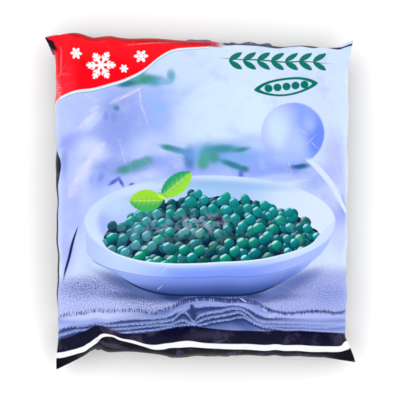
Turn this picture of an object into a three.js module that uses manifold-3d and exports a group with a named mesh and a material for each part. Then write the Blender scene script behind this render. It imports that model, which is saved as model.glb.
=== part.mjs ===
// A sealed pillow bag of frozen vegetables, lying on its back with the printed front up.
// It is one tube of film, closed by a lap seam down the back and a heat seal across each end.
// The two seals are folded behind the bag, and their ends stick out past the sides as ears.
// Millimetres: +X runs to the right across the front, +Y towards the top seal, and +Z up.
// The origin is under the middle of the bag, on the surface that it lies on.
import * as THREE from "three";
import { mergeVertices } from "three/addons/utils/BufferGeometryUtils.js";
import Module from "manifold-3d";

// The filled bag
const BODY_WIDTH = 227.6;
const BODY_LENGTH = 246;
const FILLED_THICKNESS = 39;
const EDGE_HEIGHT = 14; // of the sides' widest line and of the end folds, above the surface
const SIDE_TAPER = 0.0101; // half width gained for each millimetre towards the top
const TOP_SLOPE = -0.0316; // the top fold runs down to the right
const BOTTOM_SLOPE = -0.018;

// How the film turns at its edges
const FRONT_SIDE_ROUND = 23;
const FRONT_END_ROUND = 27;
const BACK_SIDE_ROUND = 16;
const BACK_END_RISE = 26; // the back climbs to the fold over this length
const BACK_END_CURVE = 1.2;
const SHOULDER = 0.8; // share of the front's height reached at its shoulders, the rest is crown
const SWELL = 1.1; // height of the soft heaps that the contents make in the front
const FOLD_WAVE_REACH = 3; // how fast a fold's waves die away towards the middle

// The seals and the back seam
const FILM = 1; // thickness of a seal and of the bag's rim
const SEAL_DEPTH = 13;
const SEAL_DROP = 2.3; // how far the folded seal's free edge hangs from the back
const SEAL_CORNER_TRIM = 6;
const SEAL_START = -0.3; // the seal starts just outside the fold, so that it joins the rim
const SEAL_SHIFT = 0.3; // to the right, so that no edge of a seal falls on one of the rim's
const SEAM_CENTRE = 9;
const SEAM_WIDTH = 11;
const SEAM_THICKNESS = 0.8;
const SEAM_LIFT_WIDTH = 36; // the back is held off the surface this far to each side of the seam
const SEAM_END_GAP = 3;

// The ears at the corners: how far the tip is pulled from the plain corner, and over what reach
const EARS = [
  { side: -1, end: 1, out: -8, along: -1.9, up: 1, reach: 14 },
  { side: 1, end: 1, out: 3.1, along: 4.6, up: 7, reach: 8.5 },
  { side: -1, end: -1, out: -1.4, along: -13.5, up: -4, reach: 25 },
  { side: 1, end: -1, out: 7.6, along: -3.7, up: -3, reach: 17 },
];

// Gathers across each fold: where they are, how far they draw the fold in, and their width
const TOP_GATHERS = [
  { at: -100, draw: -3.6, width: 13, dent: -1 },
  { at: -86, draw: 0.8, width: 5, dent: 2.5 },
  { at: -72, draw: -1.8, width: 9, dent: -0.5 },
  { at: -38, draw: -1.2, width: 16, dent: 1 },
  { at: 30, draw: 1.2, width: 14, dent: 1.5 },
  { at: 62, draw: 2.2, width: 14, dent: 2.5 },
  { at: 98, draw: 1.9, width: 14, dent: 2 },
];
const BOTTOM_GATHERS = [
  { at: -82, draw: 3.3, width: 6, dent: 4 },
  { at: -57, draw: 1.7, width: 18, dent: 2 },
  { at: -21, draw: -2, width: 10, dent: -1.5 },
  { at: 36, draw: 0.7, width: 10, dent: 1.5 },
  { at: 57, draw: 1, width: 5, dent: 2 },
  { at: 75, draw: 0.6, width: 8, dent: 1 },
];
const GATHER_REACH = 16; // how far a gather's dent runs from the fold

// Dents down the sides, as two waves
const SIDE_WAVES = [
  { length: 47, height: 0.5, start: 8 },
  { length: 21, height: 0.25, start: 3 },
];

const COLUMNS = 42;
const ROWS = 44;
const SEAL_ROWS = 5;
const SEAM_ROWS = 40;
const ARC_SAMPLES = 240;

const wasm = await Module();
wasm.setup();

// From 0 at an edge to 1 where the round ends, as a quarter circle.
function quarterRound(distance, radius) {
  const left = Math.max(0, 1 - distance / radius);
  return Math.sqrt(1 - left * left);
}

function bump(distance, width) {
  return Math.exp(-((distance / width) ** 2));
}

// How full the front is across the bag, from 0 at the side to 1 in the middle. across is -1 to 1.
function fullAcross(across) {
  const inwards = (1 - Math.abs(across)) * (BODY_WIDTH / 2);
  return SHOULDER * quarterRound(inwards, FRONT_SIDE_ROUND) + (1 - SHOULDER) * (1 - across ** 2);
}

function fullAlong(along) {
  const inwards = (1 - Math.abs(along)) * (BODY_LENGTH / 2);
  return SHOULDER * quarterRound(inwards, FRONT_END_ROUND) + (1 - SHOULDER) * (1 - along ** 2);
}

function gatherSum(gathers, x, amount) {
  return gathers.reduce((sum, g) => sum + amount(g) * bump(x - g.at, g.width), 0);
}

// The line of the end fold at x: its distance from the middle of the bag.
function foldLine(end, x) {
  const gathers = end > 0 ? TOP_GATHERS : BOTTOM_GATHERS;
  const slope = end > 0 ? TOP_SLOPE : BOTTOM_SLOPE;
  return BODY_LENGTH / 2 + end * slope * x - gatherSum(gathers, x, (g) => g.draw);
}

function sideWave(y) {
  return SIDE_WAVES.reduce(
    (sum, wave) => sum + wave.height * Math.sin((2 * Math.PI * (y - wave.start)) / wave.length),
    0,
  );
}

// The soft heaps of the contents under the front.
function swell(x, y) {
  return SWELL * (Math.cos(x / 29 + 1) * Math.cos(y / 24 + 0.4) + 0.5 * Math.cos(x / 15 - y / 19));
}

// How much of an ear a point is, from 0 outside its reach to 1 at its tip.
function earShare(ear, x, y, cornerX, cornerY) {
  return Math.max(0, 1 - Math.hypot(x - cornerX, y - cornerY) / ear.reach);
}

// The film at a place on the bag, given as -1 to 1 across and along: its place in plan, and the
// heights of the front and of the back there.
function film(across, along) {
  const end = along < 0 ? -1 : 1;
  const plainY = (along * BODY_LENGTH) / 2;
  const halfWidth = BODY_WIDTH / 2 + SIDE_TAPER * plainY;
  const ripple = sideWave(plainY) * Math.sign(across) * Math.abs(across) ** 8;
  let x = across * halfWidth + ripple;
  const wave = (foldLine(end, x) - BODY_LENGTH / 2) * Math.abs(along) ** FOLD_WAVE_REACH;
  let y = plainY + end * wave;

  const fromSide = (1 - Math.abs(across)) * (BODY_WIDTH / 2);
  const fromEnd = (1 - Math.abs(along)) * (BODY_LENGTH / 2);
  const endRise = Math.max(0, 1 - fromEnd / BACK_END_RISE) ** BACK_END_CURVE;
  let full = fullAcross(across) * fullAlong(along);
  let flat = quarterRound(fromSide, BACK_SIDE_ROUND) * (1 - endRise);
  let lift = 0;

  for (const ear of EARS) {
    const cornerY = (ear.end * BODY_LENGTH) / 2;
    const cornerX = ear.side * (BODY_WIDTH / 2 + SIDE_TAPER * cornerY);
    const share = earShare(ear, x, y, cornerX, ear.end * foldLine(ear.end, cornerX));
    x += ear.out * share;
    y += ear.along * share;
    lift += ear.up * share;
    full *= 1 - share;
    flat *= 1 - share;
  }

  const gathers = end > 0 ? TOP_GATHERS : BOTTOM_GATHERS;
  const dent = gatherSum(gathers, x, (g) => g.dent) * Math.exp(-fromEnd / GATHER_REACH) * full;
  const rise = (FILLED_THICKNESS - EDGE_HEIGHT + swell(x, y)) * full - dent;
  const front = EDGE_HEIGHT + lift + FILM / 2 + rise;
  const fromSeam = Math.min(1, Math.abs(x - SEAM_CENTRE) / SEAM_LIFT_WIDTH);
  const seamLift = (SEAM_THICKNESS * (1 + Math.cos(Math.PI * fromSeam))) / 2;
  const back = Math.max(0, EDGE_HEIGHT * (1 - flat) + lift - FILM / 2) + seamLift * flat;
  return { x, y, front, back };
}

// Turns even steps along the film, 0 in the middle to 1 at the edge, into steps across the plan.
function evenSteps(full, span) {
  const lengths = [0];
  for (let i = 1; i <= ARC_SAMPLES; i++) {
    const step = span / ARC_SAMPLES;
    const height = (FILLED_THICKNESS - EDGE_HEIGHT) * (full(i / ARC_SAMPLES) - full((i - 1) / ARC_SAMPLES));
    lengths.push(lengths[i - 1] + Math.hypot(step, height));
  }
  return (share) => {
    const wanted = Math.abs(share) * lengths[ARC_SAMPLES];
    let i = 1;
    while (i < ARC_SAMPLES && lengths[i] < wanted) i++;
    const part = (wanted - lengths[i - 1]) / (lengths[i] - lengths[i - 1]);
    return Math.sign(share) * Math.min(1, (i - 1 + part) / ARC_SAMPLES);
  };
}

const acrossAt = evenSteps(fullAcross, BODY_WIDTH / 2);
const alongAt = evenSteps(fullAlong, BODY_LENGTH / 2);

// A closed sheet: an upper and a lower grid of points, joined round their rim. The columns run
// towards +X and the rows towards +Y.
function closedSheet(columns, rows, upper, lower) {
  const positions = [];
  const faces = [];
  for (const layer of [upper, lower])
    for (let j = 0; j < rows; j++)
      for (let i = 0; i < columns; i++)
        positions.push(...layer(i / (columns - 1), j / (rows - 1)));
  const at = (layer, i, j) => (layer * rows + j) * columns + i;
  const quad = (a, b, c, d) => faces.push(a, b, c, a, c, d);
  for (let j = 0; j < rows - 1; j++)
    for (let i = 0; i < columns - 1; i++) {
      quad(at(0, i, j), at(0, i + 1, j), at(0, i + 1, j + 1), at(0, i, j + 1));
      quad(at(1, i, j), at(1, i, j + 1), at(1, i + 1, j + 1), at(1, i + 1, j));
    }
  for (let i = 0; i < columns - 1; i++) {
    quad(at(1, i, 0), at(1, i + 1, 0), at(0, i + 1, 0), at(0, i, 0));
    quad(at(0, i, rows - 1), at(0, i + 1, rows - 1), at(1, i + 1, rows - 1), at(1, i, rows - 1));
  }
  for (let j = 0; j < rows - 1; j++) {
    quad(at(0, 0, j), at(0, 0, j + 1), at(1, 0, j + 1), at(1, 0, j));
    quad(at(1, columns - 1, j), at(1, columns - 1, j + 1), at(0, columns - 1, j + 1), at(0, columns - 1, j));
  }
  const geometry = new THREE.BufferGeometry();
  geometry.setAttribute("position", new THREE.Float32BufferAttribute(positions, 3));
  geometry.setIndex(faces);
  return geometry;
}

// The filled body of the bag, front and back film, from fold to fold.
function bodySheet() {
  const place = (i, j) => film(acrossAt(2 * i - 1), alongAt(2 * j - 1));
  return closedSheet(
    COLUMNS,
    ROWS,
    (i, j) => {
      const p = place(i, j);
      return [p.x, p.y, p.front];
    },
    (i, j) => {
      const p = place(i, j);
      return [p.x, p.y, p.back];
    },
  );
}

// An end seal, folded behind the bag: it hangs from the fold and runs back under the end.
function sealSheet(end) {
  const place = (i, j, side) => {
    const inwards = SEAL_START + (SEAL_DEPTH - SEAL_START) * (end > 0 ? 1 - j : j);
    const across = acrossAt(2 * i - 1);
    const fold = film(across, end);
    const above = film(across, end * (1 - Math.max(0, inwards) / (BODY_LENGTH / 2)));
    const trim = (SEAL_CORNER_TRIM * across ** 7 * (inwards - SEAL_START)) / SEAL_DEPTH;
    const drop = (SEAL_DROP * inwards) / SEAL_DEPTH;
    return [fold.x - trim + SEAL_SHIFT, fold.y - end * inwards, above.back - drop + (side * FILM) / 2];
  };
  return closedSheet(
    COLUMNS,
    SEAL_ROWS,
    (i, j) => place(i, j, 1),
    (i, j) => place(i, j, -1),
  );
}

// The lap seam down the middle of the back, flush with the surface that the bag lies on.
function seamSheet() {
  const place = (i, j) => {
    const across = (SEAM_CENTRE + (i - 0.5) * SEAM_WIDTH) / (BODY_WIDTH / 2);
    const along = (2 * j - 1) * (1 - SEAM_END_GAP / (BODY_LENGTH / 2));
    return film(across, along);
  };
  return closedSheet(
    2,
    SEAM_ROWS,
    (i, j) => {
      const p = place(i, j);
      return [p.x, p.y, p.back + SEAM_THICKNESS];
    },
    (i, j) => {
      const p = place(i, j);
      return [p.x, p.y, Math.max(0, p.back - SEAM_THICKNESS)];
    },
  );
}

function solidFrom(geometry) {
  const merged = mergeVertices(geometry, 1e-4);
  return new wasm.Manifold(
    new wasm.Mesh({
      numProp: 3,
      vertProperties: new Float32Array(merged.attributes.position.array),
      triVerts: new Uint32Array(merged.index.array),
    }),
  );
}

function geometryFrom(solid) {
  const mesh = solid.getMesh();
  const geometry = new THREE.BufferGeometry();
  geometry.setAttribute("position", new THREE.Float32BufferAttribute(mesh.vertProperties, 3));
  geometry.setIndex(new THREE.Uint32BufferAttribute(mesh.triVerts, 1));
  geometry.computeVertexNormals();
  return geometry;
}

function bagGeometry() {
  let solid = solidFrom(bodySheet());
  for (const sheet of [sealSheet(1), sealSheet(-1), seamSheet()]) solid = solid.add(solidFrom(sheet));
  const geometry = geometryFrom(solid);
  geometry.computeBoundingBox();
  const middle = geometry.boundingBox.getCenter(new THREE.Vector3());
  geometry.translate(-middle.x, -middle.y, -geometry.boundingBox.min.z);
  return geometry;
}

function bag() {
  const printedFilm = new THREE.MeshStandardMaterial({
    color: 0xbfcbf5,
    roughness: 0.38,
    metalness: 0,
  });
  const mesh = new THREE.Mesh(bagGeometry(), printedFilm);
  mesh.name = "bag";
  return mesh;
}

const pack = new THREE.Group();
pack.add(bag());

export default pack;
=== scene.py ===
import math

import bpy
import numpy as np
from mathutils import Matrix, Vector

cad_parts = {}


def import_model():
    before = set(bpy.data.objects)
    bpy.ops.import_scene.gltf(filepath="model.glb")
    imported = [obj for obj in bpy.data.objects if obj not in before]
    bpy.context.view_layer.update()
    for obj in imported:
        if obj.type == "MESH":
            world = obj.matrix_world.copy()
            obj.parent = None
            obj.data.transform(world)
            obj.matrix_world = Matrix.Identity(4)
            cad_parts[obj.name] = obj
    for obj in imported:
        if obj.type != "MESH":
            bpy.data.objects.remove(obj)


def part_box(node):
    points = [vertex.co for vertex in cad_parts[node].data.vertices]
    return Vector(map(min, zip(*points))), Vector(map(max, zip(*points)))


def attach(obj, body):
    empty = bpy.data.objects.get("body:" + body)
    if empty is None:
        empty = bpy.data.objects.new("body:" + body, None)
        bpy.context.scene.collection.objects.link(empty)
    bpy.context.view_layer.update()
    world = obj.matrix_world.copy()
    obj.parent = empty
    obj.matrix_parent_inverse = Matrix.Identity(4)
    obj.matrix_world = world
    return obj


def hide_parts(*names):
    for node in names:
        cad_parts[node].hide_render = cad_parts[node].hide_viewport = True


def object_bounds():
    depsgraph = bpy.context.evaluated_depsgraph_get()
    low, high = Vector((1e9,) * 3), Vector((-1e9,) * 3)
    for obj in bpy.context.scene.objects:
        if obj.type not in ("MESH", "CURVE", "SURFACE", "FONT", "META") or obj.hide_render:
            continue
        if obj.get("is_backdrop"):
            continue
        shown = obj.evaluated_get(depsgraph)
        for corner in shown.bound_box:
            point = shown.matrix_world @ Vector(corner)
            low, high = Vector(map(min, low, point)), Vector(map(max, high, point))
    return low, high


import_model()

# A sealed pillow bag of frozen vegetables, lying on its back with the printed front up.
# Places on the bag are worked out in millimetres, +X across the front and +Y towards the top seal.
# "Film" places are on the flat film: u across and v along, in millimetres from its middle.
CAD_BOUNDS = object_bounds()
MM = 0.001

# The filled bag, as in the CAD model
BODY_WIDTH = 227.6
BODY_LENGTH = 246
FILLED_THICKNESS = 39
EDGE_HEIGHT = 14
SIDE_TAPER = 0.0101
TOP_SLOPE = -0.0316
BOTTOM_SLOPE = -0.018
FRONT_SIDE_ROUND = 23
FRONT_END_ROUND = 27
BACK_SIDE_ROUND = 16
BACK_END_RISE = 26
BACK_END_CURVE = 1.2
SHOULDER = 0.8
SWELL = 1.1
FOLD_WAVE_REACH = 3
GATHER_REACH = 16
RIM = 1.0
SEAM_CENTRE = 9
SEAM_WIDTH = 11
SEAM_THICKNESS = 0.8
SEAM_LIFT_WIDTH = 36
SEAM_END_GAP = 3
SEAL_DEPTH = 13
SEAL_DROP = 2.3
SEAL_CORNER_TRIM = 6

# Each ear: its corner, how far its tip is pulled from the plain corner, and over what reach
EARS = [
    {"side": -1, "end": 1, "out": -8, "along": -1.9, "up": 1, "reach": 14},
    {"side": 1, "end": 1, "out": 3.1, "along": 4.6, "up": 7, "reach": 8.5},
    {"side": -1, "end": -1, "out": -1.4, "along": -13.5, "up": -4, "reach": 25},
    {"side": 1, "end": -1, "out": 7.6, "along": -3.7, "up": -3, "reach": 17},
]

# Each gather: (place across, how far it draws the fold in, width, dent)
TOP_GATHERS = [
    (-100, -3.6, 13, -1),
    (-86, 0.8, 5, 2.5),
    (-72, -1.8, 9, -0.5),
    (-38, -1.2, 16, 1),
    (30, 1.2, 14, 1.5),
    (62, 2.2, 14, 2.5),
    (98, 1.9, 14, 2),
]
BOTTOM_GATHERS = [
    (-82, 3.3, 6, 4),
    (-57, 1.7, 18, 2),
    (-21, -2, 10, -1.5),
    (36, 0.7, 10, 1.5),
    (57, 1, 5, 2),
    (75, 0.6, 8, 1),
]

# Each wave of the sides: (length, height, start)
SIDE_WAVES = [(47, 0.5, 8), (21, 0.25, 3)]
SIDE_WAVE_POWER = 8  # how close to the sides the waves stay

# The waves of the contents' heaps: their lengths, and how much the slanted ones add
HEAP_ACROSS = 29
HEAP_ALONG = 24
HEAP_SLANT = (15, 19)
HEAP_SLANT_SHARE = 0.5

# The photograph: where its pixels fall on the bag
PIXEL = 0.784  # millimetres, at the height of the bag's outline
MIDDLE_PIXEL = (201.9, 198.3)  # over the middle of the bag
FRAME_MIDDLE = 200.0
CAMERA_DISTANCE = 1200.0
CAMERA_X = (FRAME_MIDDLE - MIDDLE_PIXEL[0]) * PIXEL
CAMERA_Y = (MIDDLE_PIXEL[1] - FRAME_MIDDLE) * PIXEL

# The film's mesh
COLUMNS = 212
ROWS = 228
ARC_SAMPLES = 240


# The shape of the film

def quarter_round(distance, radius):
    """From 0 at an edge to 1 where the round ends, as a quarter circle."""
    left = np.clip(1 - distance / radius, 0, 1)
    return np.sqrt(1 - left**2)


def bump(distance, width):
    return np.exp(-((distance / width) ** 2))


def full_across(across):
    inwards = (1 - np.abs(across)) * BODY_WIDTH / 2
    return SHOULDER * quarter_round(inwards, FRONT_SIDE_ROUND) + (1 - SHOULDER) * (1 - across**2)


def full_along(along):
    inwards = (1 - np.abs(along)) * BODY_LENGTH / 2
    return SHOULDER * quarter_round(inwards, FRONT_END_ROUND) + (1 - SHOULDER) * (1 - along**2)


def gather_sum(gathers, x, which):
    """What the gathers add at x: which is 1 for the fold's draw and 3 for the dent."""
    return sum(gather[which] * bump(x - gather[0], gather[2]) for gather in gathers)


def fold_line(end, x):
    """How far the end fold lies from the middle of the bag, at x."""
    gathers = TOP_GATHERS if end > 0 else BOTTOM_GATHERS
    slope = TOP_SLOPE if end > 0 else BOTTOM_SLOPE
    return BODY_LENGTH / 2 + end * slope * x - gather_sum(gathers, x, 1)


def side_wave(y):
    return sum(height * np.sin(2 * np.pi * (y - start) / length) for length, height, start in SIDE_WAVES)


def swell(x, y):
    """The soft heaps that the contents make under the front."""
    straight = np.cos(x / HEAP_ACROSS + 1) * np.cos(y / HEAP_ALONG + 0.4)
    return SWELL * (straight + HEAP_SLANT_SHARE * np.cos(x / HEAP_SLANT[0] - y / HEAP_SLANT[1]))


def film(across, along):
    """The film at a place given as -1 to 1 across and along: x, y, the front's and the back's
    height, and how full the bag is there."""
    plain_y = along * BODY_LENGTH / 2
    half_width = BODY_WIDTH / 2 + SIDE_TAPER * plain_y
    ripple = side_wave(plain_y) * np.sign(across) * np.abs(across) ** SIDE_WAVE_POWER
    x = across * half_width + ripple
    top = along >= 0
    fold = np.where(top, fold_line(1, x), fold_line(-1, x))
    end = np.where(top, 1, -1)
    y = plain_y + end * (fold - BODY_LENGTH / 2) * np.abs(along) ** FOLD_WAVE_REACH

    from_side = (1 - np.abs(across)) * BODY_WIDTH / 2
    from_end = (1 - np.abs(along)) * BODY_LENGTH / 2
    end_rise = np.clip(1 - from_end / BACK_END_RISE, 0, 1) ** BACK_END_CURVE
    full = full_across(across) * full_along(along)
    flat = quarter_round(from_side, BACK_SIDE_ROUND) * (1 - end_rise)
    lift = np.zeros_like(x)
    for ear in EARS:
        corner_y = ear["end"] * BODY_LENGTH / 2
        corner_x = ear["side"] * (BODY_WIDTH / 2 + SIDE_TAPER * corner_y)
        fold_y = ear["end"] * fold_line(ear["end"], corner_x)
        share = np.clip(1 - np.hypot(x - corner_x, y - fold_y) / ear["reach"], 0, 1)
        x = x + ear["out"] * share
        y = y + ear["along"] * share
        lift = lift + ear["up"] * share
        full = full * (1 - share)
        flat = flat * (1 - share)

    gathers = np.where(top, gather_sum(TOP_GATHERS, x, 3), gather_sum(BOTTOM_GATHERS, x, 3))
    dent = gathers * np.exp(-from_end / GATHER_REACH) * full
    rise = (FILLED_THICKNESS - EDGE_HEIGHT + swell(x, y)) * full - dent
    front = EDGE_HEIGHT + lift + RIM / 2 + rise
    from_seam = np.minimum(1, np.abs(x - SEAM_CENTRE) / SEAM_LIFT_WIDTH)
    seam_lift = SEAM_THICKNESS * (1 + np.cos(np.pi * from_seam)) / 2
    back = np.maximum(0, EDGE_HEIGHT * (1 - flat) + lift - RIM / 2) + seam_lift * flat
    return x, y, front, back, full


def arc_table(full, span):
    """Lengths along the front film from the middle of the bag, at even steps of the plan."""
    places = np.linspace(0, 1, ARC_SAMPLES + 1)
    heights = (FILLED_THICKNESS - EDGE_HEIGHT) * full(places)
    steps = np.hypot(span / ARC_SAMPLES, np.diff(heights))
    return places, np.concatenate([[0], np.cumsum(steps)])


ACROSS_PLACES, ACROSS_LENGTHS = arc_table(full_across, BODY_WIDTH / 2)
ALONG_PLACES, ALONG_LENGTHS = arc_table(full_along, BODY_LENGTH / 2)
FILM_HALF_WIDTH = ACROSS_LENGTHS[-1]
FILM_HALF_LENGTH = ALONG_LENGTHS[-1]


def place_across(u):
    return np.sign(u) * np.interp(np.abs(u), ACROSS_LENGTHS, ACROSS_PLACES)


def place_along(v):
    return np.sign(v) * np.interp(np.abs(v), ALONG_LENGTHS, ALONG_PLACES)


# From the bag to the photograph's pixels and back

def pixels_of(x, y, z):
    """Where points of the bag fall in the photograph."""
    scale = CAMERA_DISTANCE / (CAMERA_DISTANCE - (z - EDGE_HEIGHT)) / PIXEL
    return FRAME_MIDDLE + (x - CAMERA_X) * scale, FRAME_MIDDLE - (y - CAMERA_Y) * scale


def plan_of(px, py):
    """The place on the bag's outline plane, in millimetres, that a pixel shows."""
    return (px - MIDDLE_PIXEL[0]) * PIXEL, (MIDDLE_PIXEL[1] - py) * PIXEL


GRID_U, GRID_V = np.meshgrid(
    np.linspace(-FILM_HALF_WIDTH, FILM_HALF_WIDTH, COLUMNS),
    np.linspace(-FILM_HALF_LENGTH, FILM_HALF_LENGTH, ROWS),
)
GRID_X, GRID_Y, GRID_FRONT, GRID_BACK, GRID_FULL = film(place_across(GRID_U), place_along(GRID_V))
GRID_PX, GRID_PY = pixels_of(GRID_X, GRID_Y, GRID_FRONT)


def film_at(px, py):
    """The film place (u, v) that a pixel shows: the nearest grid point and one step of Newton."""
    distance = (GRID_PX - px) ** 2 + (GRID_PY - py) ** 2
    row, column = np.unravel_index(distance.argmin(), distance.shape)
    row = min(max(row, 1), ROWS - 2)
    column = min(max(column, 1), COLUMNS - 2)
    slopes = np.array([
        [(g[row, column + 1] - g[row, column - 1]) / 2, (g[row + 1, column] - g[row - 1, column]) / 2]
        for g in (GRID_PX, GRID_PY)
    ])
    miss = np.array([px - GRID_PX[row, column], py - GRID_PY[row, column]])
    steps = np.clip(np.linalg.lstsq(slopes, miss, rcond=None)[0], -1.5, 1.5)
    u = GRID_U[row, column] + steps[0] * (GRID_U[0, 1] - GRID_U[0, 0])
    v = GRID_V[row, column] + steps[1] * (GRID_V[1, 0] - GRID_V[0, 0])
    return float(u), float(v)


# The film's creases, fine gathers and the contents that press through it

# Each crease: (from pixel, to pixel, height, half width) in pixels and millimetres
CREASES = [
    ((84, 124), (112, 103), 1.0, 6),
    ((112, 103), (139, 89), 0.9, 7),
    ((142, 91), (143, 118), 0.7, 5),
    ((143, 118), (158, 138), 0.6, 6),
    ((62, 136), (88, 124), -0.9, 7),
    ((74, 190), (101, 142), 1.0, 9),
    ((118, 138), (125, 166), -0.6, 7),
    ((66, 98), (98, 110), 0.6, 6),
    ((185, 98), (222, 68), 0.6, 9),
    ((283, 152), (312, 178), 0.5, 4),
    ((318, 184), (336, 172), 0.4, 3),
    ((334, 142), (345, 200), 0.6, 4),
    ((326, 205), (344, 232), -0.5, 5),
    ((66, 232), (80, 200), 0.5, 6),
    ((62, 262), (78, 300), 0.5, 6),
    ((100, 345), (112, 318), 1.2, 6),
    ((88, 352), (70, 318), 0.7, 7),
    ((118, 346), (152, 352), 0.6, 4),
    ((165, 222), (214, 226), -0.35, 8),
    ((322, 338), (343, 352), 0.6, 5),
    ((258, 340), (250, 352), 0.5, 4),
    ((206, 336), (214, 352), 0.5, 4),
    ((78, 46), (90, 66), 0.7, 5),
    ((62, 60), (72, 96), -0.6, 6),
]
CRUMPLE_SEED = 11
CRUMPLE_COUNT = 90
CRUMPLE_SLOPE = 0.05
CRUMPLE_REACHES = (7, 20)

# Where the film is slack: (place, reach, how slack) at the left, at the top left and at the ends
SLACK_LEAST = 0.35
SLACK_LEFT = (-95, 55, 0.8)
SLACK_CORNER = ((-75, 70), 60, 0.7)
SLACK_ENDS = (16, 0.8)

# The fine gathers, each drawn between two values
GATHER_SEED = 5
FINE_GATHERS = 26
GATHER_WIDTHS = (1.8, 5)
GATHER_DEPTHS = (-1, 0.7)
GATHER_REACHES = (5, 20)
GATHER_LEANS = (-0.35, 0.35)

# The contents that press through: their spacing, how high and wide a lump is, and how far they stray
PEA_SPACING = 9.5
PEA_PRESS = 0.22
PEA_LUMP = 0.55  # in spacings
PEA_STRAY = 1.6
ROW_STRAY = 2.2
ROW_STIR = 12.9898


def crease_height(x, y):
    """The named creases: straight ridges, or valleys where the height is below zero."""
    height = np.zeros_like(x)
    for start, finish, lift, half_width in CREASES:
        ax, ay = plan_of(*start)
        bx, by = plan_of(*finish)
        length = math.hypot(bx - ax, by - ay)
        run = ((x - ax) * (bx - ax) + (y - ay) * (by - ay)) / length**2
        off = np.abs((x - ax) * (by - ay) - (y - ay) * (bx - ax)) / length
        fade = np.exp(-(np.maximum(0, np.abs(run - 0.5) - 0.35) / 0.25) ** 2)
        ridge = np.maximum(0, 1 - off / half_width)
        height += lift * ridge**1.5 * fade
    return height


def crumple_height(x, y, seed):
    """Many short sharp bends of the film, scattered by a seed."""
    draw = np.random.default_rng(seed)
    height = np.zeros_like(x)
    for _ in range(CRUMPLE_COUNT):
        cx = draw.uniform(-BODY_WIDTH / 2, BODY_WIDTH / 2)
        cy = draw.uniform(-BODY_LENGTH / 2, BODY_LENGTH / 2)
        turn = draw.uniform(0, math.pi)
        reach = draw.uniform(*CRUMPLE_REACHES)
        tilt = draw.uniform(-1, 1) * CRUMPLE_SLOPE
        off = np.abs((x - cx) * math.sin(turn) - (y - cy) * math.cos(turn))
        height += tilt * off * bump(np.hypot(x - cx, y - cy), reach)
    return height


def looseness(x, y):
    """Where the film is slack and creases more: the left, the top left and near the ends."""
    place, reach, share = SLACK_LEFT
    left = share * bump(x - place, reach)
    place, reach, share = SLACK_CORNER
    corner = share * bump(np.hypot(x - place[0], y - place[1]), reach)
    reach, share = SLACK_ENDS
    ends = share * np.exp(-(BODY_LENGTH / 2 - np.abs(y)) / reach)
    return SLACK_LEAST + left + corner + ends


def fine_gather_height(x, y, end):
    """Small pleats that run in from an end fold."""
    draw = np.random.default_rng(GATHER_SEED + end)
    height = np.zeros_like(x)
    from_fold = fold_line(end, x) - end * y
    for _ in range(FINE_GATHERS):
        at = draw.uniform(-BODY_WIDTH / 2, BODY_WIDTH / 2)
        width, depth, reach, lean = (
            draw.uniform(*limits) for limits in (GATHER_WIDTHS, GATHER_DEPTHS, GATHER_REACHES, GATHER_LEANS)
        )
        fade = np.exp(-(np.maximum(0, from_fold) / reach) ** 2)
        height += depth * bump(x - at - lean * from_fold, width) * fade
    return height


def pea_press(x, y):
    """Low round lumps where the contents press on the film."""
    row_step = PEA_SPACING * math.sqrt(3) / 2
    row = np.round(y / row_step)
    nearest = np.full_like(x, PEA_SPACING)
    for shift in (-1, 0, 1):
        line = row + shift
        start = np.where(line % 2 == 0, 0, PEA_SPACING / 2) + ROW_STRAY * np.sin(line * ROW_STIR + 4)
        column = np.round((x - start) / PEA_SPACING)
        pea_x = start + column * PEA_SPACING + PEA_STRAY * np.sin(column * 7.1 + line * 3.3)
        pea_y = line * row_step + PEA_STRAY * np.cos(column * 5.3 + line * 8.7)
        nearest = np.minimum(nearest, np.hypot(x - pea_x, y - pea_y))
    return PEA_PRESS * (1 - np.minimum(1, nearest / (PEA_SPACING * PEA_LUMP)) ** 2)


def front_heights():
    inside = np.clip(GRID_FULL / 0.7, 0, 1) ** 0.5
    detail = crease_height(GRID_X, GRID_Y)
    detail += crumple_height(GRID_X, GRID_Y, CRUMPLE_SEED) * looseness(GRID_X, GRID_Y)
    detail += fine_gather_height(GRID_X, GRID_Y, 1) + fine_gather_height(GRID_X, GRID_Y, -1)
    detail += pea_press(GRID_X, GRID_Y)
    return GRID_FRONT + detail * inside


def back_heights():
    off_rim = np.clip(GRID_FULL / 0.5, 0, 1)
    detail = crumple_height(GRID_X, GRID_Y, CRUMPLE_SEED + 1)
    detail += fine_gather_height(GRID_X, GRID_Y, 1) + fine_gather_height(GRID_X, GRID_Y, -1)
    return np.maximum(0, GRID_BACK + np.maximum(0, detail) * off_rim)


# Meshes

CAD_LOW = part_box("bag")[0]


def frame_shift():
    """How far the plan above is moved to put the bag on the CAD model: the ears' tips agree."""
    corners = [film(np.array([float(ear["side"])]), np.array([float(ear["end"])])) for ear in EARS]
    low_x = min(corner[0][0] for corner in corners)
    low_y = min(corner[1][0] for corner in corners)
    return CAD_LOW[0] - low_x * MM, CAD_LOW[1] - low_y * MM, CAD_LOW[2]


SHIFT = frame_shift()


def columns_of(layers, first, stop):
    """Those of the layers' grids as the columns of one array, in metres."""
    parts = [np.stack([grid.ravel() for grid in layer[first:stop]], axis=1) for layer in layers]
    return np.concatenate(parts) * MM


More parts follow.
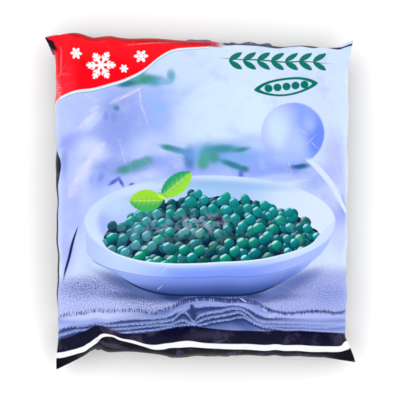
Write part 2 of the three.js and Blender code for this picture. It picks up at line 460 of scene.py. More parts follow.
def closed_sheet(name, upper, lower, upper_material, lower_material):
    """A closed sheet from two grids of (x, y, z, u, v) in millimetres, joined round their rim."""
    rows, columns = upper[0].shape
    count = rows * columns
    points = columns_of((upper, lower), 0, 3) + np.array(SHIFT)
    index = np.arange(count).reshape(rows, columns)
    a, b = index[:-1, :-1], index[:-1, 1:]
    c, d = index[1:, 1:], index[1:, :-1]
    top_faces = np.stack([a, b, c, d], axis=-1).reshape(-1, 4)
    bottom_faces = np.stack([a, d, c, b], axis=-1).reshape(-1, 4) + count
    rim = np.concatenate([index[0, :-1], index[:-1, -1], index[-1, :0:-1], index[:0:-1, 0]])
    following = np.roll(rim, -1)
    rim_faces = np.stack([rim + count, following + count, following, rim], axis=-1)
    faces = np.concatenate([top_faces, bottom_faces, rim_faces])

    mesh = bpy.data.meshes.new(name)
    mesh.from_pydata(points.tolist(), [], faces.tolist())
    for material in (upper_material, lower_material):
        mesh.materials.append(material)
    material_index = np.zeros(len(faces), dtype=np.int32)
    material_index[len(top_faces):len(top_faces) + len(bottom_faces)] = 1
    mesh.polygons.foreach_set("material_index", material_index)
    mesh.polygons.foreach_set("use_smooth", np.ones(len(faces), dtype=bool))

    flat_places = columns_of((upper, lower), 3, 5)
    film_map = mesh.uv_layers.new(name="film")
    film_map.data.foreach_set("uv", flat_places[faces.ravel()].astype(np.float32).ravel())
    mesh.update()
    piece = bpy.data.objects.new(name, mesh)
    bpy.context.scene.collection.objects.link(piece)
    return piece


def body_piece(front_material, back_material):
    upper = (GRID_X, GRID_Y, front_heights(), GRID_U, GRID_V)
    lower = (GRID_X, GRID_Y, back_heights(), GRID_U, GRID_V)
    return closed_sheet("bag_film", upper, lower, front_material, back_material)


SEAL_COLUMNS = 240
SEAL_ROWS = 34
SEAL_SHEET = 0.7  # thickness
RIB_PITCH = 1.3
RIB_HEIGHT = 0.16

# Where a seal stands out past its fold: (from x, to x, how far, how much that wavers)
TOP_PEEKS = [(-124, -112, 0.8, 0.0), (-12, 8, 1.3, 0.1), (8, 15, 0.9, 0.5), (22, 55, 1.1, 0.4)]
BOTTOM_PEEKS = [(-83, -80, 1.7, 0.0), (-27, 23, 0.7, 0.12), (5, 14, 0.9, 0.0)]
PEEK_EDGE = 0.8
TUCKED = -0.8  # elsewhere its edge stays behind the fold
TURN = 2.6  # height of the seal's own turn where it folds back
WANDER = 0.35  # how far the seal's sheet strays from flat


def peek(end, x):
    """How far the seal stands out past the fold, before it turns back."""
    out = np.full_like(x, TUCKED)
    for start, stop, far, waver in TOP_PEEKS if end > 0 else BOTTOM_PEEKS:
        here = 1 / (1 + np.exp((start - x) / PEEK_EDGE)) / (1 + np.exp((x - stop) / PEEK_EDGE))
        out = np.maximum(out, TUCKED + here * (far - TUCKED) * (1 + waver * np.sin(x / 2.6)))
    return out


def seal_piece(name, end, face_material, under_material):
    """An end seal: it stands out past the fold a little, turns, and lies under the bag's end."""
    columns = np.linspace(-FILM_HALF_WIDTH, FILM_HALF_WIDTH, SEAL_COLUMNS)
    u, down = np.meshgrid(columns, np.linspace(0, 1, SEAL_ROWS))
    across = place_across(u)
    fold_x, fold_y, _, fold_back, _ = film(across, np.full_like(across, float(end)))
    out = peek(end, fold_x)
    inwards = -out + (SEAL_DEPTH + out) * down
    _, _, _, above, _ = film(across, end * (1 - np.maximum(0, inwards) / (BODY_LENGTH / 2)))
    turn = np.clip((inwards + out) / (TURN * 1.2), 0, 1)
    hang = TURN * np.sqrt(1 - (1 - turn) ** 2) * 0.5
    share = np.maximum(0, inwards) / SEAL_DEPTH
    height = np.where(inwards < 0, fold_back, above) - SEAL_DROP * share - hang
    x = fold_x - SEAL_CORNER_TRIM * across**7 * share
    y = fold_y - end * inwards
    ribs = RIB_HEIGHT * np.sin(2 * np.pi * inwards / RIB_PITCH) * np.clip(down * 4, 0, 1)
    wander = WANDER * np.sin(x / 7 + end) * np.sin(x / 17) * down
    height = np.maximum(height + wander, SEAL_SHEET / 2 + RIB_HEIGHT)
    v = end * (FILM_HALF_LENGTH + inwards)
    layers = [(x, y, height + side * SEAL_SHEET / 2 + ribs, u, v) for side in (1, -1)]
    if end > 0:
        layers = [tuple(np.flip(grid, 0) for grid in layer) for layer in layers]
    return closed_sheet(name, *layers, face_material, under_material)


SEAM_COLUMNS = 12
SEAM_ROWS = 240
SEAM_OVERLAP = 0.25  # how far it sinks into the bag
SEAM_WAVE = 0.12


def seam_piece(material):
    """The lap seam down the back, with its free edge a little raised."""
    rows = np.linspace(-1, 1, SEAM_ROWS) * (FILM_HALF_LENGTH - SEAM_END_GAP)
    share, v = np.meshgrid(np.linspace(0, 1, SEAM_COLUMNS), rows)
    u = SEAM_CENTRE + (share - 0.5) * SEAM_WIDTH
    x, y, _, back, _ = film(u / (BODY_WIDTH / 2), place_along(v))
    lower = np.maximum(0, back - SEAM_THICKNESS + SEAM_WAVE * np.sin(v / 5) * share)
    layers = [(x, y, height, u, v) for height in (back + SEAM_OVERLAP, lower)]
    return closed_sheet("back_seam", *layers, material, material)


# Shader nodes

INK_STRENGTH = 0.81
SHEEN = 0.006  # what the film's own sheen adds to every colour
DARKEST = 0.002


def ink(red, green, blue):
    """A printed colour from its look in the photograph, as Blender's linear colour."""
    values = []
    for level in (red, green, blue):
        share = level / 255
        value = share / 12.92 if share <= 0.04045 else ((share + 0.055) / 1.055) ** 2.4
        values.append(max(DARKEST, value * INK_STRENGTH - SHEEN))
    return (*values, 1.0)


def as_colour(value):
    """A colour of three levels is printed ink, and one of four is Blender's own."""
    return ink(*value) if len(value) == 3 else value


class Nodes:
    """Adds nodes to one node tree. Each value is a socket or a plain number."""

    def __init__(self, tree):
        self.tree = tree

    def put(self, socket, value):
        if isinstance(value, bpy.types.NodeSocket):
            self.tree.links.new(value, socket)
        elif socket.type == "RGBA":
            socket.default_value = as_colour(value)
        else:
            socket.default_value = value

    def add(self, kind, inputs=None, **settings):
        node = self.tree.nodes.new(kind)
        for name, value in settings.items():
            setattr(node, name, value)
        for key, value in (inputs or {}).items():
            self.put(node.inputs[key], value)
        return node

    def math(self, operation, *values):
        return self.add("ShaderNodeMath", dict(enumerate(values)), operation=operation).outputs[0]

    def plus(self, a, b):
        return self.math("ADD", a, b)

    def minus(self, a, b):
        return self.math("SUBTRACT", a, b)

    def times(self, first, *others):
        for other in others:
            first = self.math("MULTIPLY", first, other)
        return first

    def divide(self, a, b):
        return self.math("DIVIDE", a, b)

    def absolute(self, value):
        return self.math("ABSOLUTE", value)

    def larger(self, a, b):
        return self.math("MAXIMUM", a, b)

    def step(self, value, low, high):
        """A smooth step: 0 at low and 1 at high. low may be the larger one."""
        inputs = {"Value": value, "From Min": low, "From Max": high}
        settings = {"interpolation_type": "SMOOTHSTEP", "clamp": False}
        return self.add("ShaderNodeMapRange", inputs, **settings).outputs[0]

    def within(self, value, low, high, softness):
        """A mask of the values between low and high."""
        rising = self.step(value, low - softness, low + softness)
        return self.times(rising, self.step(value, high + softness, high - softness))

    def scaled(self, value, low, high, new_low=0.0, new_high=1.0):
        inputs = {"Value": value, "From Min": low, "From Max": high, "To Min": new_low, "To Max": new_high}
        return self.add("ShaderNodeMapRange", inputs, clamp=False).outputs[0]

    def mix(self, mask, under, over):
        return self.add("ShaderNodeMix", {0: mask, 6: under, 7: over}, data_type="RGBA").outputs[2]

    def vector(self, x, y):
        return self.add("ShaderNodeCombineXYZ", {"X": x, "Y": y}).outputs[0]

    def vectors(self, operation, *values):
        """A sum with vectors, whose result is a vector."""
        return self.add("ShaderNodeVectorMath", dict(enumerate(values)), operation=operation).outputs[0]

    def dot(self, a, b):
        return self.add("ShaderNodeVectorMath", {0: a, 1: b}, operation="DOT_PRODUCT").outputs["Value"]

    def split(self, vector):
        """A vector's x and y. Dot products let the renderer work through a long shader in order."""
        return self.dot(vector, (1, 0, 0)), self.dot(vector, (0, 1, 0))

    def less(self, a, b):
        """The vector a less the vector b."""
        return self.vectors("SUBTRACT", a, b)

    def sized(self, vector, scale):
        inputs = {0: vector, "Scale": scale}
        return self.add("ShaderNodeVectorMath", inputs, operation="SCALE").outputs[0]

    def stretched(self, place, across, along):
        """A place drawn out by a scale of its own each way."""
        inputs = {"Vector": place, "Scale": (across, along, 1)}
        return self.add("ShaderNodeMapping", inputs, vector_type="POINT").outputs[0]

    def turned_and_moved(self, place, turn, shift, back=False):
        """A place turned and then moved by the same amount each way, or brought back from there."""
        way = "TEXTURE" if back else "POINT"
        inputs = {"Vector": place, "Location": (shift, shift, 0), "Rotation": (0, 0, turn)}
        return self.add("ShaderNodeMapping", inputs, vector_type=way).outputs[0]

    def noise(self, place, scale, detail=2.0, roughness=0.5):
        inputs = {"Vector": place, "Scale": scale, "Detail": detail, "Roughness": roughness}
        return self.add("ShaderNodeTexNoise", inputs).outputs[0]

    def cells(self, place, scale, randomness, **settings):
        inputs = {"Vector": place, "Scale": scale, "Randomness": randomness}
        return self.add("ShaderNodeTexVoronoi", inputs, voronoi_dimensions="2D", **settings).outputs

    def ramp(self, value, stops):
        """A colour from a value, through (place, colour) stops."""
        node = self.add("ShaderNodeValToRGB", {0: value})
        elements = node.color_ramp.elements
        elements[0].position, elements[0].color = stops[0][0], as_colour(stops[0][1])
        elements[1].position, elements[1].color = stops[-1][0], as_colour(stops[-1][1])
        for place, colour in stops[1:-1]:
            elements.new(place).color = as_colour(colour)
        return node.outputs[0]

    def curve(self, value, spots, reach):
        """A smooth curve through (value, result) spots that lie within reach of zero."""
        node = self.add("ShaderNodeFloatCurve", {"Value": self.scaled(value, -reach, reach)})
        points = node.mapping.curves[0].points
        places = [((a + reach) / (2 * reach), (b + reach) / (2 * reach)) for a, b in spots]
        points[0].location = places[0]
        points[1].location = places[-1]
        for spot in places[1:-1]:
            points.new(*spot)
        node.mapping.update()
        return self.scaled(node.outputs[0], 0.0, 1.0, -reach, reach)

    def group(self, tree, inputs):
        node = self.add("ShaderNodeGroup", node_tree=tree)
        for key, value in inputs.items():
            self.put(node.inputs[key], value)
        return node.outputs

    def film_place(self):
        """The film place in millimetres, from the film's own map."""
        return self.sized(self.add("ShaderNodeUVMap", uv_map="film").outputs[0], 1 / MM)


def new_group(name, inputs, outputs):
    """An empty shader group. inputs and outputs are pairs of a name and a kind."""
    tree = bpy.data.node_groups.new(name, "ShaderNodeTree")
    for way, sockets in (("INPUT", inputs), ("OUTPUT", outputs)):
        for label, kind in sockets:
            tree.interface.new_socket(label, in_out=way, socket_type="NodeSocket" + kind)
    nodes = Nodes(tree)
    entry = nodes.add("NodeGroupInput").outputs
    leaving = nodes.add("NodeGroupOutput").inputs
    return tree, nodes, entry, leaving


def ellipse_group():
    """A soft-edged ellipse: Mask is 1 inside."""
    inputs = [("Place", "Vector"), ("Centre", "Vector"), ("Half Size", "Vector")]
    inputs += [("Angle", "Float"), ("Softness", "Float")]
    tree, nodes, entry, leaving = new_group("ellipse", inputs, [("Mask", "Float")])
    turn = {"Vector": entry["Place"], "Center": entry["Centre"], "Angle": nodes.times(entry["Angle"], -1.0)}
    turned = nodes.add("ShaderNodeVectorRotate", turn, rotation_type="Z_AXIS").outputs[0]
    share = nodes.vectors("DIVIDE", nodes.less(turned, entry["Centre"]), entry["Half Size"])
    distance = nodes.add("ShaderNodeVectorMath", {0: share}, operation="LENGTH").outputs["Value"]
    outer = nodes.plus(entry["Softness"], 1.0)
    inner = nodes.minus(1.0, entry["Softness"])
    nodes.put(leaving["Mask"], nodes.step(distance, outer, inner))
    return tree


LEAF_TEETH = 62.0  # how fast the teeth follow each other, in radians for the leaf's length
LEAF_FULLNESS = 0.75
LEAF_THINNEST = 0.0005


def leaf_group():
    """A pointed leaf. Way and Side measure it: Along is 0 at its base and 1 at its tip, and
    Across is -1 and 1 at its edges."""
    inputs = [("Place", "Vector"), ("Base", "Vector"), ("Way", "Vector"), ("Side", "Vector")]
    inputs += [("Teeth", "Float"), ("Softness", "Float")]
    outputs = [("Mask", "Float"), ("Along", "Float"), ("Across", "Float")]
    tree, nodes, entry, leaving = new_group("leaf", inputs, outputs)
    local = nodes.less(entry["Place"], entry["Base"])
    along = nodes.dot(local, entry["Way"])
    inside = nodes.larger(nodes.times(along, nodes.minus(1.0, along)), 0.0)
    belly = nodes.math("POWER", nodes.times(inside, 4.0), LEAF_FULLNESS)
    teeth = nodes.times(nodes.math("SINE", nodes.times(along, LEAF_TEETH)), entry["Teeth"])
    half = nodes.larger(nodes.times(belly, nodes.plus(teeth, 1.0)), LEAF_THINNEST)
    across = nodes.divide(nodes.dot(local, entry["Side"]), half)
    low = nodes.minus(1.0, entry["Softness"])
    high = nodes.plus(1.0, entry["Softness"])
    nodes.put(leaving["Mask"], nodes.step(nodes.absolute(across), high, low))
    nodes.put(leaving["Along"], along)
    nodes.put(leaving["Across"], across)
    return tree


CRYSTAL_BRANCHES = [(0.42, 0.26), (0.68, 0.2)]  # where each starts on its arm, and how far out it goes
SIXTH = math.pi / 3


def snow_crystal_group():
    """A plain six-armed snow crystal."""
    inputs = [("Place", "Vector"), ("Centre", "Vector"), ("Radius", "Float"), ("Line", "Float")]
    tree, nodes, entry, leaving = new_group("snow_crystal", inputs, [("Mask", "Float")])
    x, y = nodes.split(nodes.less(entry["Place"], entry["Centre"]))
    far = nodes.math("SQRT", nodes.plus(nodes.times(x, x), nodes.times(y, y)))
    reach = nodes.divide(far, entry["Radius"])
    turn = nodes.plus(nodes.math("ARCTAN2", y, x), SIXTH / 2)
    folded = nodes.absolute(nodes.minus(nodes.math("WRAP", turn, SIXTH, 0.0), SIXTH / 2))
    arm_x = nodes.times(reach, nodes.math("COSINE", folded))
    arm_y = nodes.times(reach, nodes.math("SINE", folded))
    thick = nodes.times(entry["Line"], 1.4)
    thin = nodes.times(entry["Line"], 0.7)
    arm = nodes.times(nodes.step(arm_y, thick, thin), nodes.step(arm_x, 1.02, 0.96))
    for start, tip in CRYSTAL_BRANCHES:
        slant = nodes.minus(nodes.times(arm_y, 0.5), nodes.times(nodes.minus(arm_x, start), 0.866))
        near = nodes.step(nodes.absolute(slant), thick, thin)
        arm = nodes.larger(arm, nodes.times(near, nodes.step(arm_y, tip + 0.02, tip - 0.02)))
    nodes.put(leaving["Mask"], arm)
    return tree


PEA_SCATTER = 0.36
PEA_SIZES = (0.9, 1.1)  # the smallest and the largest, as a share of the radius
PEA_TOP_LIGHT = 0.2  # how much the side towards the viewer is lit
PEA_LIGHT_RANGE = 0.9


def pea_group():
    """One layer of round peas. Place is in pea spacings, and Light is the way to the light."""
    inputs = [("Place", "Vector"), ("Light", "Vector"), ("Radius", "Float"), ("Fill", "Float")]
    outputs = [("Mask", "Float"), ("Shade", "Float"), ("Tone", "Float"), ("Centre", "Vector")]
    tree, nodes, entry, leaving = new_group("pea_layer", inputs, outputs)
    cells = nodes.cells(entry["Place"], 1.0, PEA_SCATTER)
    tone, presence = nodes.split(cells["Color"])
    size = nodes.times(entry["Radius"], nodes.scaled(tone, 0.0, 1.0, *PEA_SIZES))
    unit = nodes.sized(nodes.less(entry["Place"], cells["Position"]), nodes.divide(1.0, size))
    spread = nodes.dot(unit, unit)
    height = nodes.math("SQRT", nodes.larger(nodes.minus(1.0, spread), 0.0))
    light = nodes.plus(nodes.dot(unit, entry["Light"]), nodes.times(height, PEA_TOP_LIGHT))
    shown = nodes.step(presence, entry["Fill"], nodes.minus(entry["Fill"], 0.01))
    nodes.put(leaving["Mask"], nodes.times(nodes.step(spread, 1.06, 0.92), shown))
    nodes.put(leaving["Shade"], nodes.scaled(light, -PEA_LIGHT_RANGE, PEA_LIGHT_RANGE))
    nodes.put(leaving["Tone"], tone)
    nodes.put(leaving["Centre"], cells["Position"])
    return tree


# The film's fine wear: how fast each pattern repeats, for each millimetre
WRINKLE_SCALE = 0.055
WRINKLE_WIDTH = 0.09  # as a share of the spacing
BEND_SCALE = 0.02
BEND_REACH = 30.0  # millimetres that the bend moves the wrinkles
PATCH_SCALE = 0.018
SOFT_SCALE = 0.09
GRAIN_SCALE = 0.9
GLOSS_SCALE = 0.05
ROUGHNESS = (0.18, 0.3)


def film_wear_group():
    """What every film surface has: fine wrinkles as Height, a Roughness that changes with them, and
    a Haze along the sharp ones."""
    outputs = [("Height", "Float"), ("Roughness", "Float"), ("Haze", "Float")]
    tree, nodes, entry, leaving = new_group("film_wear", [("Place", "Vector")], outputs)
    place = entry["Place"]
    bend = nodes.noise(place, BEND_SCALE, 3.0)
    warped = nodes.vectors("ADD", place, nodes.vector(nodes.times(bend, BEND_REACH), 0.0))
    distance = nodes.cells(warped, WRINKLE_SCALE, 1.0, feature="DISTANCE_TO_EDGE")["Distance"]
    sharp = nodes.step(distance, WRINKLE_WIDTH, 0.0)
    where = nodes.step(nodes.noise(place, PATCH_SCALE, 1.0), 0.52, 0.68)
    soft = nodes.noise(place, SOFT_SCALE, 3.0, 0.55)
    grain = nodes.noise(place, GRAIN_SCALE, 2.0)
    height = nodes.plus(nodes.times(sharp, where, 0.5), nodes.times(soft, 0.9))
    nodes.put(leaving["Height"], nodes.plus(height, nodes.times(grain, 0.06)))
    rough = nodes.scaled(nodes.noise(place, GLOSS_SCALE, 3.0), 0.3, 0.7, *ROUGHNESS)
    nodes.put(leaving["Roughness"], nodes.plus(rough, nodes.times(grain, 0.05)))
    nodes.put(leaving["Haze"], nodes.times(sharp, where, 0.25))
    return tree


ELLIPSE = ellipse_group()
LEAF = leaf_group()
SNOW_CRYSTAL = snow_crystal_group()
PEAS = pea_group()
FILM_WEAR = film_wear_group()

FILM_IOR = 1.48
FILM_SPECULAR = 0.05
HAZE_WHITE = 0.16
BUMP_STRENGTH = 0.6
BUMP_DEPTH = 0.00035  # metres


def film_material(name, colour_of):
    """A film material. colour_of(nodes, place) gives its colour socket."""
    material = bpy.data.materials.new(name)
    material.use_nodes = True
    nodes = Nodes(material.node_tree)
    shader = material.node_tree.nodes["Principled BSDF"]
    place = nodes.film_place()
    wear = nodes.group(FILM_WEAR, {"Place": place})
    colour = colour_of(nodes, place)
    hazy = nodes.mix(HAZE_WHITE, colour, (1, 1, 1, 1))
    nodes.put(shader.inputs["Base Color"], nodes.mix(wear["Haze"], colour, hazy))
    nodes.put(shader.inputs["Roughness"], wear["Roughness"])
    shader.inputs["IOR"].default_value = FILM_IOR
    shader.inputs["Specular IOR Level"].default_value = FILM_SPECULAR
    relief = {"Height": wear["Height"], "Strength": BUMP_STRENGTH, "Distance": BUMP_DEPTH}
    nodes.put(shader.inputs["Normal"], nodes.add("ShaderNodeBump", relief).outputs[0])
    return material


# The print. Its colours are given as they look in the photograph, and its places in pixels.

REACH = 150.0  # film millimetres that a drawn line's curve spans each way
CRISP = 0.35  # how soft a sharp printed edge is, in millimetres

NIGHT = (27, 25, 48)
RED = (254, 14, 38)
SHADED_RED = (150, 0, 6)
TEAL = (0, 119, 107)
WHITE = (250, 252, 255)
ICE = (226, 243, 255)
SKY = (211, 229, 255)


class Page:
    """The front's print: draws one colour over another, by places in the photograph."""

    def __init__(self, nodes, place, base):
        self.nodes = nodes
        self.place = place
        self.u, self.v = nodes.split(place)
        self.colour = base

    def paint(self, mask, colour, strength=1.0):
        if strength < 1:
            mask = self.nodes.times(mask, strength)
        self.colour = self.nodes.mix(mask, self.colour, colour)

    def ellipse(self, centre, half_size, angle=0.0, softness=0.1):
        """A mask of an ellipse, by its centre and half sizes in pixels. The angle is in degrees."""
        u, v = film_at(*centre)
        half_width, half_height = half_size
        inputs = {
            "Place": self.place,
            "Centre": (u, v, 0),
            "Half Size": (half_width * PIXEL, half_height * PIXEL, 1),
            "Angle": math.radians(angle),
            "Softness": softness,
        }
        return self.nodes.group(ELLIPSE, inputs)["Mask"]

    def blob(self, centre, half_size, colour, angle=0.0, softness=0.8, strength=1.0):
        self.paint(self.ellipse(centre, half_size, angle, softness), colour, strength)

    def blobs(self, fields, softness=0.8):
        """Fields of (centre, half sizes, colour, angle), each over the last. A field may end with a
        softness and a strength of its own."""
        for centre, half_size, colour, angle, *own in fields:
            self.blob(centre, half_size, colour, angle, *(own or [softness]))

    def leaf_parts(self, base, tip, half_width, softness, teeth=0.0):
        """A leaf from a base pixel to a tip pixel: its mask, and the place along and across it."""
        u, v = film_at(*base)
        tip_u, tip_v = film_at(*tip)
        du = tip_u - u
        dv = tip_v - v
        length = math.hypot(du, dv)
        side = length * half_width * PIXEL
        inputs = {
            "Place": self.place,
            "Base": (u, v, 0),
            "Way": (du / length**2, dv / length**2, 0),
            "Side": (-dv / side, du / side, 0),
            "Teeth": teeth,
            "Softness": softness,
        }
        return self.nodes.group(LEAF, inputs)

    def leaf(self, base, tip, half_width, softness):
        return self.leaf_parts(base, tip, half_width, softness)["Mask"]

    def line(self, pixels):
        """The film height v of a line drawn through these pixels, at each place across."""
        return self.nodes.curve(self.u, sorted(film_at(*pixel) for pixel in pixels), REACH)

    def upright(self, pixels):
        """The film place u of an upright line through these pixels, at each place along."""
        return self.nodes.curve(self.v, sorted(film_at(*pixel)[::-1] for pixel in pixels), REACH)

    def above(self, line, softness=0.5):
        """A mask of what lies above a line, with the edge's softness in millimetres."""
        return self.nodes.step(self.nodes.minus(self.v, line), -softness, softness)

    def below(self, line, softness=0.5):
        return self.nodes.step(self.nodes.minus(self.v, line), softness, -softness)

    def between(self, left, right, softness=3.0):
        """A mask of the film between two pixels across, on the line through the bag's middle."""
        low = film_at(left, FRAME_MIDDLE)[0]
        high = film_at(right, FRAME_MIDDLE)[0]
        return self.nodes.within(self.u, low, high, softness)

    def fade(self, start, finish):
        """A mask that rises across the film from one pixel to another."""
        return self.nodes.step(self.u, film_at(*start)[0], film_at(*finish)[0])

    def fade_along(self, start, finish):
        return self.nodes.step(self.v, film_at(*start)[1], film_at(*finish)[1])


# The out-of-focus room: each field's centre, half sizes, colour and angle, each over the last
BACKDROP = [
    ((100, 152), (72, 82), (177, 194, 254), 0),
    ((160, 100), (27, 17), (166, 191, 253), 10),
    ((152, 118), (18, 20), (162, 186, 253), -20),
    ((118, 124), (21, 34), (148, 166, 242), -12),
    ((112, 106), (15, 6), (148, 169, 240), 10),
    ((82, 108), (19, 11), (184, 200, 255), 20),
    ((91, 122), (12, 5), (196, 212, 255), 42),
    ((70, 142), (18, 7), (156, 168, 249), 12),
    ((92, 150), (15, 10), (206, 219, 255), -25),
    ((84, 176), (11, 25), (198, 211, 255), -22),
    ((112, 167), (16, 7), (138, 158, 236), 8),
    ((103, 181), (13, 9), (158, 178, 250), 0),
    ((120, 192), (20, 8), (190, 208, 255), 12),
    ((64, 160), (5, 16), (152, 164, 232), 0),
    ((70, 212), (13, 26), (176, 190, 251), 0),
    ((66, 252), (9, 20), (176, 188, 248), 0),
    ((192, 88), (22, 4), (158, 182, 250), 41),
    ((216, 108), (32, 40), (212, 234, 255), 0),
    ((256, 104), (22, 30), (218, 239, 255), 0),
    ((184, 70), (26, 14), (206, 226, 255), 0),
    ((150, 146), (17, 10), (188, 207, 255), 15),
    ((152, 164), (24, 7), (152, 174, 250), 12),
    ((186, 171), (44, 7), (156, 172, 249), 2),
    ((146, 178), (18, 7), (190, 205, 255), 14),
    ((252, 160), (34, 14), (150, 178, 253), 4),
    ((252, 142), (18, 8), (184, 206, 255), 0),
    ((262, 170), (28, 7), (146, 170, 253), 6),
    ((296, 171), (16, 7), (132, 158, 243), 8),
    ((282, 178), (14, 4), (184, 202, 255), 8),
    ((337, 162), (12, 27), (188, 198, 250), 8),
    ((318, 180), (18, 12), (172, 188, 254), 30),
    ((326, 200), (11, 14), (190, 206, 255), 20),
    ((338, 222), (10, 18), (172, 184, 252), 8),
    ((343, 208), (7, 15), (158, 170, 248), 8),
    ((340, 240), (10, 14), (200, 212, 255), 0),
]
# The round of an out-of-focus ladle
LADLE_ROUND = ((293, 133.5), (31, 31))
LADLE_BLUE = (128, 160, 254)
LADLE = [
    ((311, 111), (12, 9), (146, 174, 253), -30),
    ((318, 138), (8, 19), (112, 146, 251), 6),
    ((279, 114), (15, 12), (180, 194, 252), 30),
    ((266, 130), (6, 18), (190, 196, 246), 0),
    ((281, 134), (16, 22), (196, 216, 255), 10),
    ((277, 128), (9, 15), (208, 230, 255), 8),
    ((309, 124), (6, 8), (164, 187, 255), 0),
    ((297, 146), (9, 14), (184, 204, 255), 10),
    ((284, 158), (22, 5), (172, 194, 254), 6),
]
LADLE_HANDLE = [
    (305, 155), (310, 160.5), (317, 167), (324, 175), (332, 185), (338, 196), (343, 206), (347, 216),
]
HANDLE_ENDS = [(310, 159), (310, 214)]  # the heights where it starts and goes out of the picture
HANDLE_HALF_WIDTH = 2.9  # millimetres

# Blurred green sprigs on the table, and a few dark marks
HERBS = [
    ((134, 80.5), (13, 5.5), (70, 150, 142), 12),
    ((138, 76), (7, 5), (98, 168, 176), 20),
    ((126, 84), (8, 2.5), (60, 122, 160), 10),
    ((155, 81), (9, 5), (96, 164, 198), 6),
    ((146, 79.5), (8, 4), (72, 156, 150), 14),
    ((171, 76), (4, 6), (118, 176, 206), 0),
    ((165, 82), (6, 3), (140, 182, 230), 0),
    ((116.5, 108), (3, 2.6), (92, 140, 190), 0),
    ((114, 117), (3, 4), (134, 156, 226), 0),
    ((106, 116), (2.5, 4), (138, 158, 228), 0),
    ((160, 107), (6, 4.5), (150, 190, 255), 0),
    ((134, 167), (19, 5.5), (122, 162, 214), 18),
    ((124, 169.5), (7, 3.5), (80, 152, 158), 8),
    ((135, 165), (8, 4), (88, 162, 166), 20),
    ((146, 161), (6, 4), (94, 162, 172), 18),
    ((177, 150), (15, 3), (76, 142, 176), -14),
    ((168, 147.5), (6, 2.6), (70, 150, 150), -10),
    ((190, 158), (6, 10), (42, 98, 172), 0),
    ((216, 154), (32, 12), (122, 172, 236), 0),
    ((205, 157), (6, 11), (86, 168, 174), -16),
    ((203, 164), (5, 4.5), (88, 164, 156), 0),
    ((214, 157), (5, 6), (82, 156, 156), 0),
    ((222, 149), (14, 4), (74, 150, 168), 2),
    ((240, 150), (9, 2.4), (70, 146, 164), 12),
    ((233, 157), (8, 4.5), (134, 178, 242), 0),
    ((233, 165), (13, 3), (60, 132, 160), -20),
    ((244, 169), (4.5, 3), (58, 134, 146), 0),
    ((241, 174), (2.5, 4), (102, 122, 214), 0),
    ((300, 166), (9, 3), (48, 106, 160), 4),
    ((114, 181.5), (6, 1.8), (84, 104, 212), 34),
    ((121, 182), (5, 1.7), (84, 104, 212), -60),
    ((131.5, 184), (2.6, 1.2), (98, 122, 220), 20),
    ((101, 177), (3, 5), (140, 156, 240), -25),
    ((93, 179), (3, 5), (162, 178, 248), -25),
]
HERB_SPECKS = ((176, 163), (14, 7), 10.0, 0.6)
TABLE_MARK = ((78, 226), (60.5, 291), 1.7, 0.45)


def paint_backdrop(page):
    nodes = page.nodes
    page.blobs(BACKDROP)
    faint = nodes.noise(page.place, 0.06, 3.0, 0.55)
    page.paint(nodes.step(faint, 0.5, 0.78), (150, 168, 242), 0.3)
    page.paint(nodes.step(faint, 0.5, 0.24), (226, 236, 255), 0.25)


def paint_herbs(page):
    page.blobs(HERBS, 0.62)
    nodes = page.nodes
    dots = nodes.step(nodes.noise(page.place, 0.55, 1.0), 0.63, 0.7)
    page.paint(nodes.times(dots, page.ellipse(*HERB_SPECKS)), (84, 104, 196), 0.6)
    page.paint(page.leaf(*TABLE_MARK), (30, 36, 104))


def paint_ladle(page):
    """A ladle out of focus: its round, which has shades of its own, and its handle."""
    nodes = page.nodes
    ladle = Page(nodes, page.place, LADLE_BLUE)
    ladle.blobs(LADLE)
    page.paint(page.ellipse(*LADLE_ROUND, 0.0, 0.035), ladle.colour)
    off = nodes.absolute(nodes.minus(page.u, page.upright(LADLE_HANDLE)))
    start, finish = (film_at(*pixel)[1] for pixel in HANDLE_ENDS)
    length = nodes.times(page.below(start, 2.0), page.above(finish, 3.0))
    side = nodes.step(off, HANDLE_HALF_WIDTH * 1.25, HANDLE_HALF_WIDTH * 0.75)
    page.paint(nodes.times(side, length), (220, 233, 255))


# The bowl: the ellipses of its rim and of its inside, its sides across the film and its lines
BOWL_RIM = ((210.5, 222.5), (124, 46))
BOWL_HOLLOW = ((213, 222), (113, 38))
BOWL_SIDES = [(86.5, 240), (334, 240)]
BOWL_UNDER = [
    (80, 246), (88, 254), (94, 262), (105, 268), (113, 272), (120, 276.5), (127, 281), (139.5, 287.6),
    (152, 291.8), (164.5, 294), (180, 295.2), (212, 295.6), (237, 295.6), (250, 294), (260, 291.8),
    (270, 288), (278, 284.4), (288, 279), (300, 272.4), (312, 261.6), (323, 251), (331, 238), (335, 224),
]
BOWL_FRONT_EDGE = [
    (90, 226), (102, 240.6), (107, 248), (115, 252.8), (129, 257.8), (146, 261.5), (163, 263),
    (180, 263.6), (205, 263), (220, 262), (242, 261), (261, 259), (280, 255), (297, 250), (311, 244),
    (320, 234), (332, 222),
]
BOWL_STEP = [
    (89, 259), (98, 264), (110, 269), (130, 274), (150, 277), (175, 278.5), (205, 278), (222, 277),
    (245, 277.5), (262, 276), (285, 271), (305, 263), (322, 252), (333, 242),
]
BOWL_SHADOWS = [
    ((200, 296), (82, 6), (48, 68, 122), 0, 0.5),
    ((132, 287), (30, 6), (92, 108, 166), -24, 0.7),
    ((288, 286), (28, 6), (104, 120, 186), 26, 0.7),
]
BOWL_INSIDE_TINTS = [
    ((220, 184.5), (56, 4.4), (156, 196, 244), -3, 0.8),
    ((105, 226), (5, 11), (168, 188, 252), 10, 0.8),
    ((116, 206), (12, 8), (194, 218, 255), 20, 0.9),
]

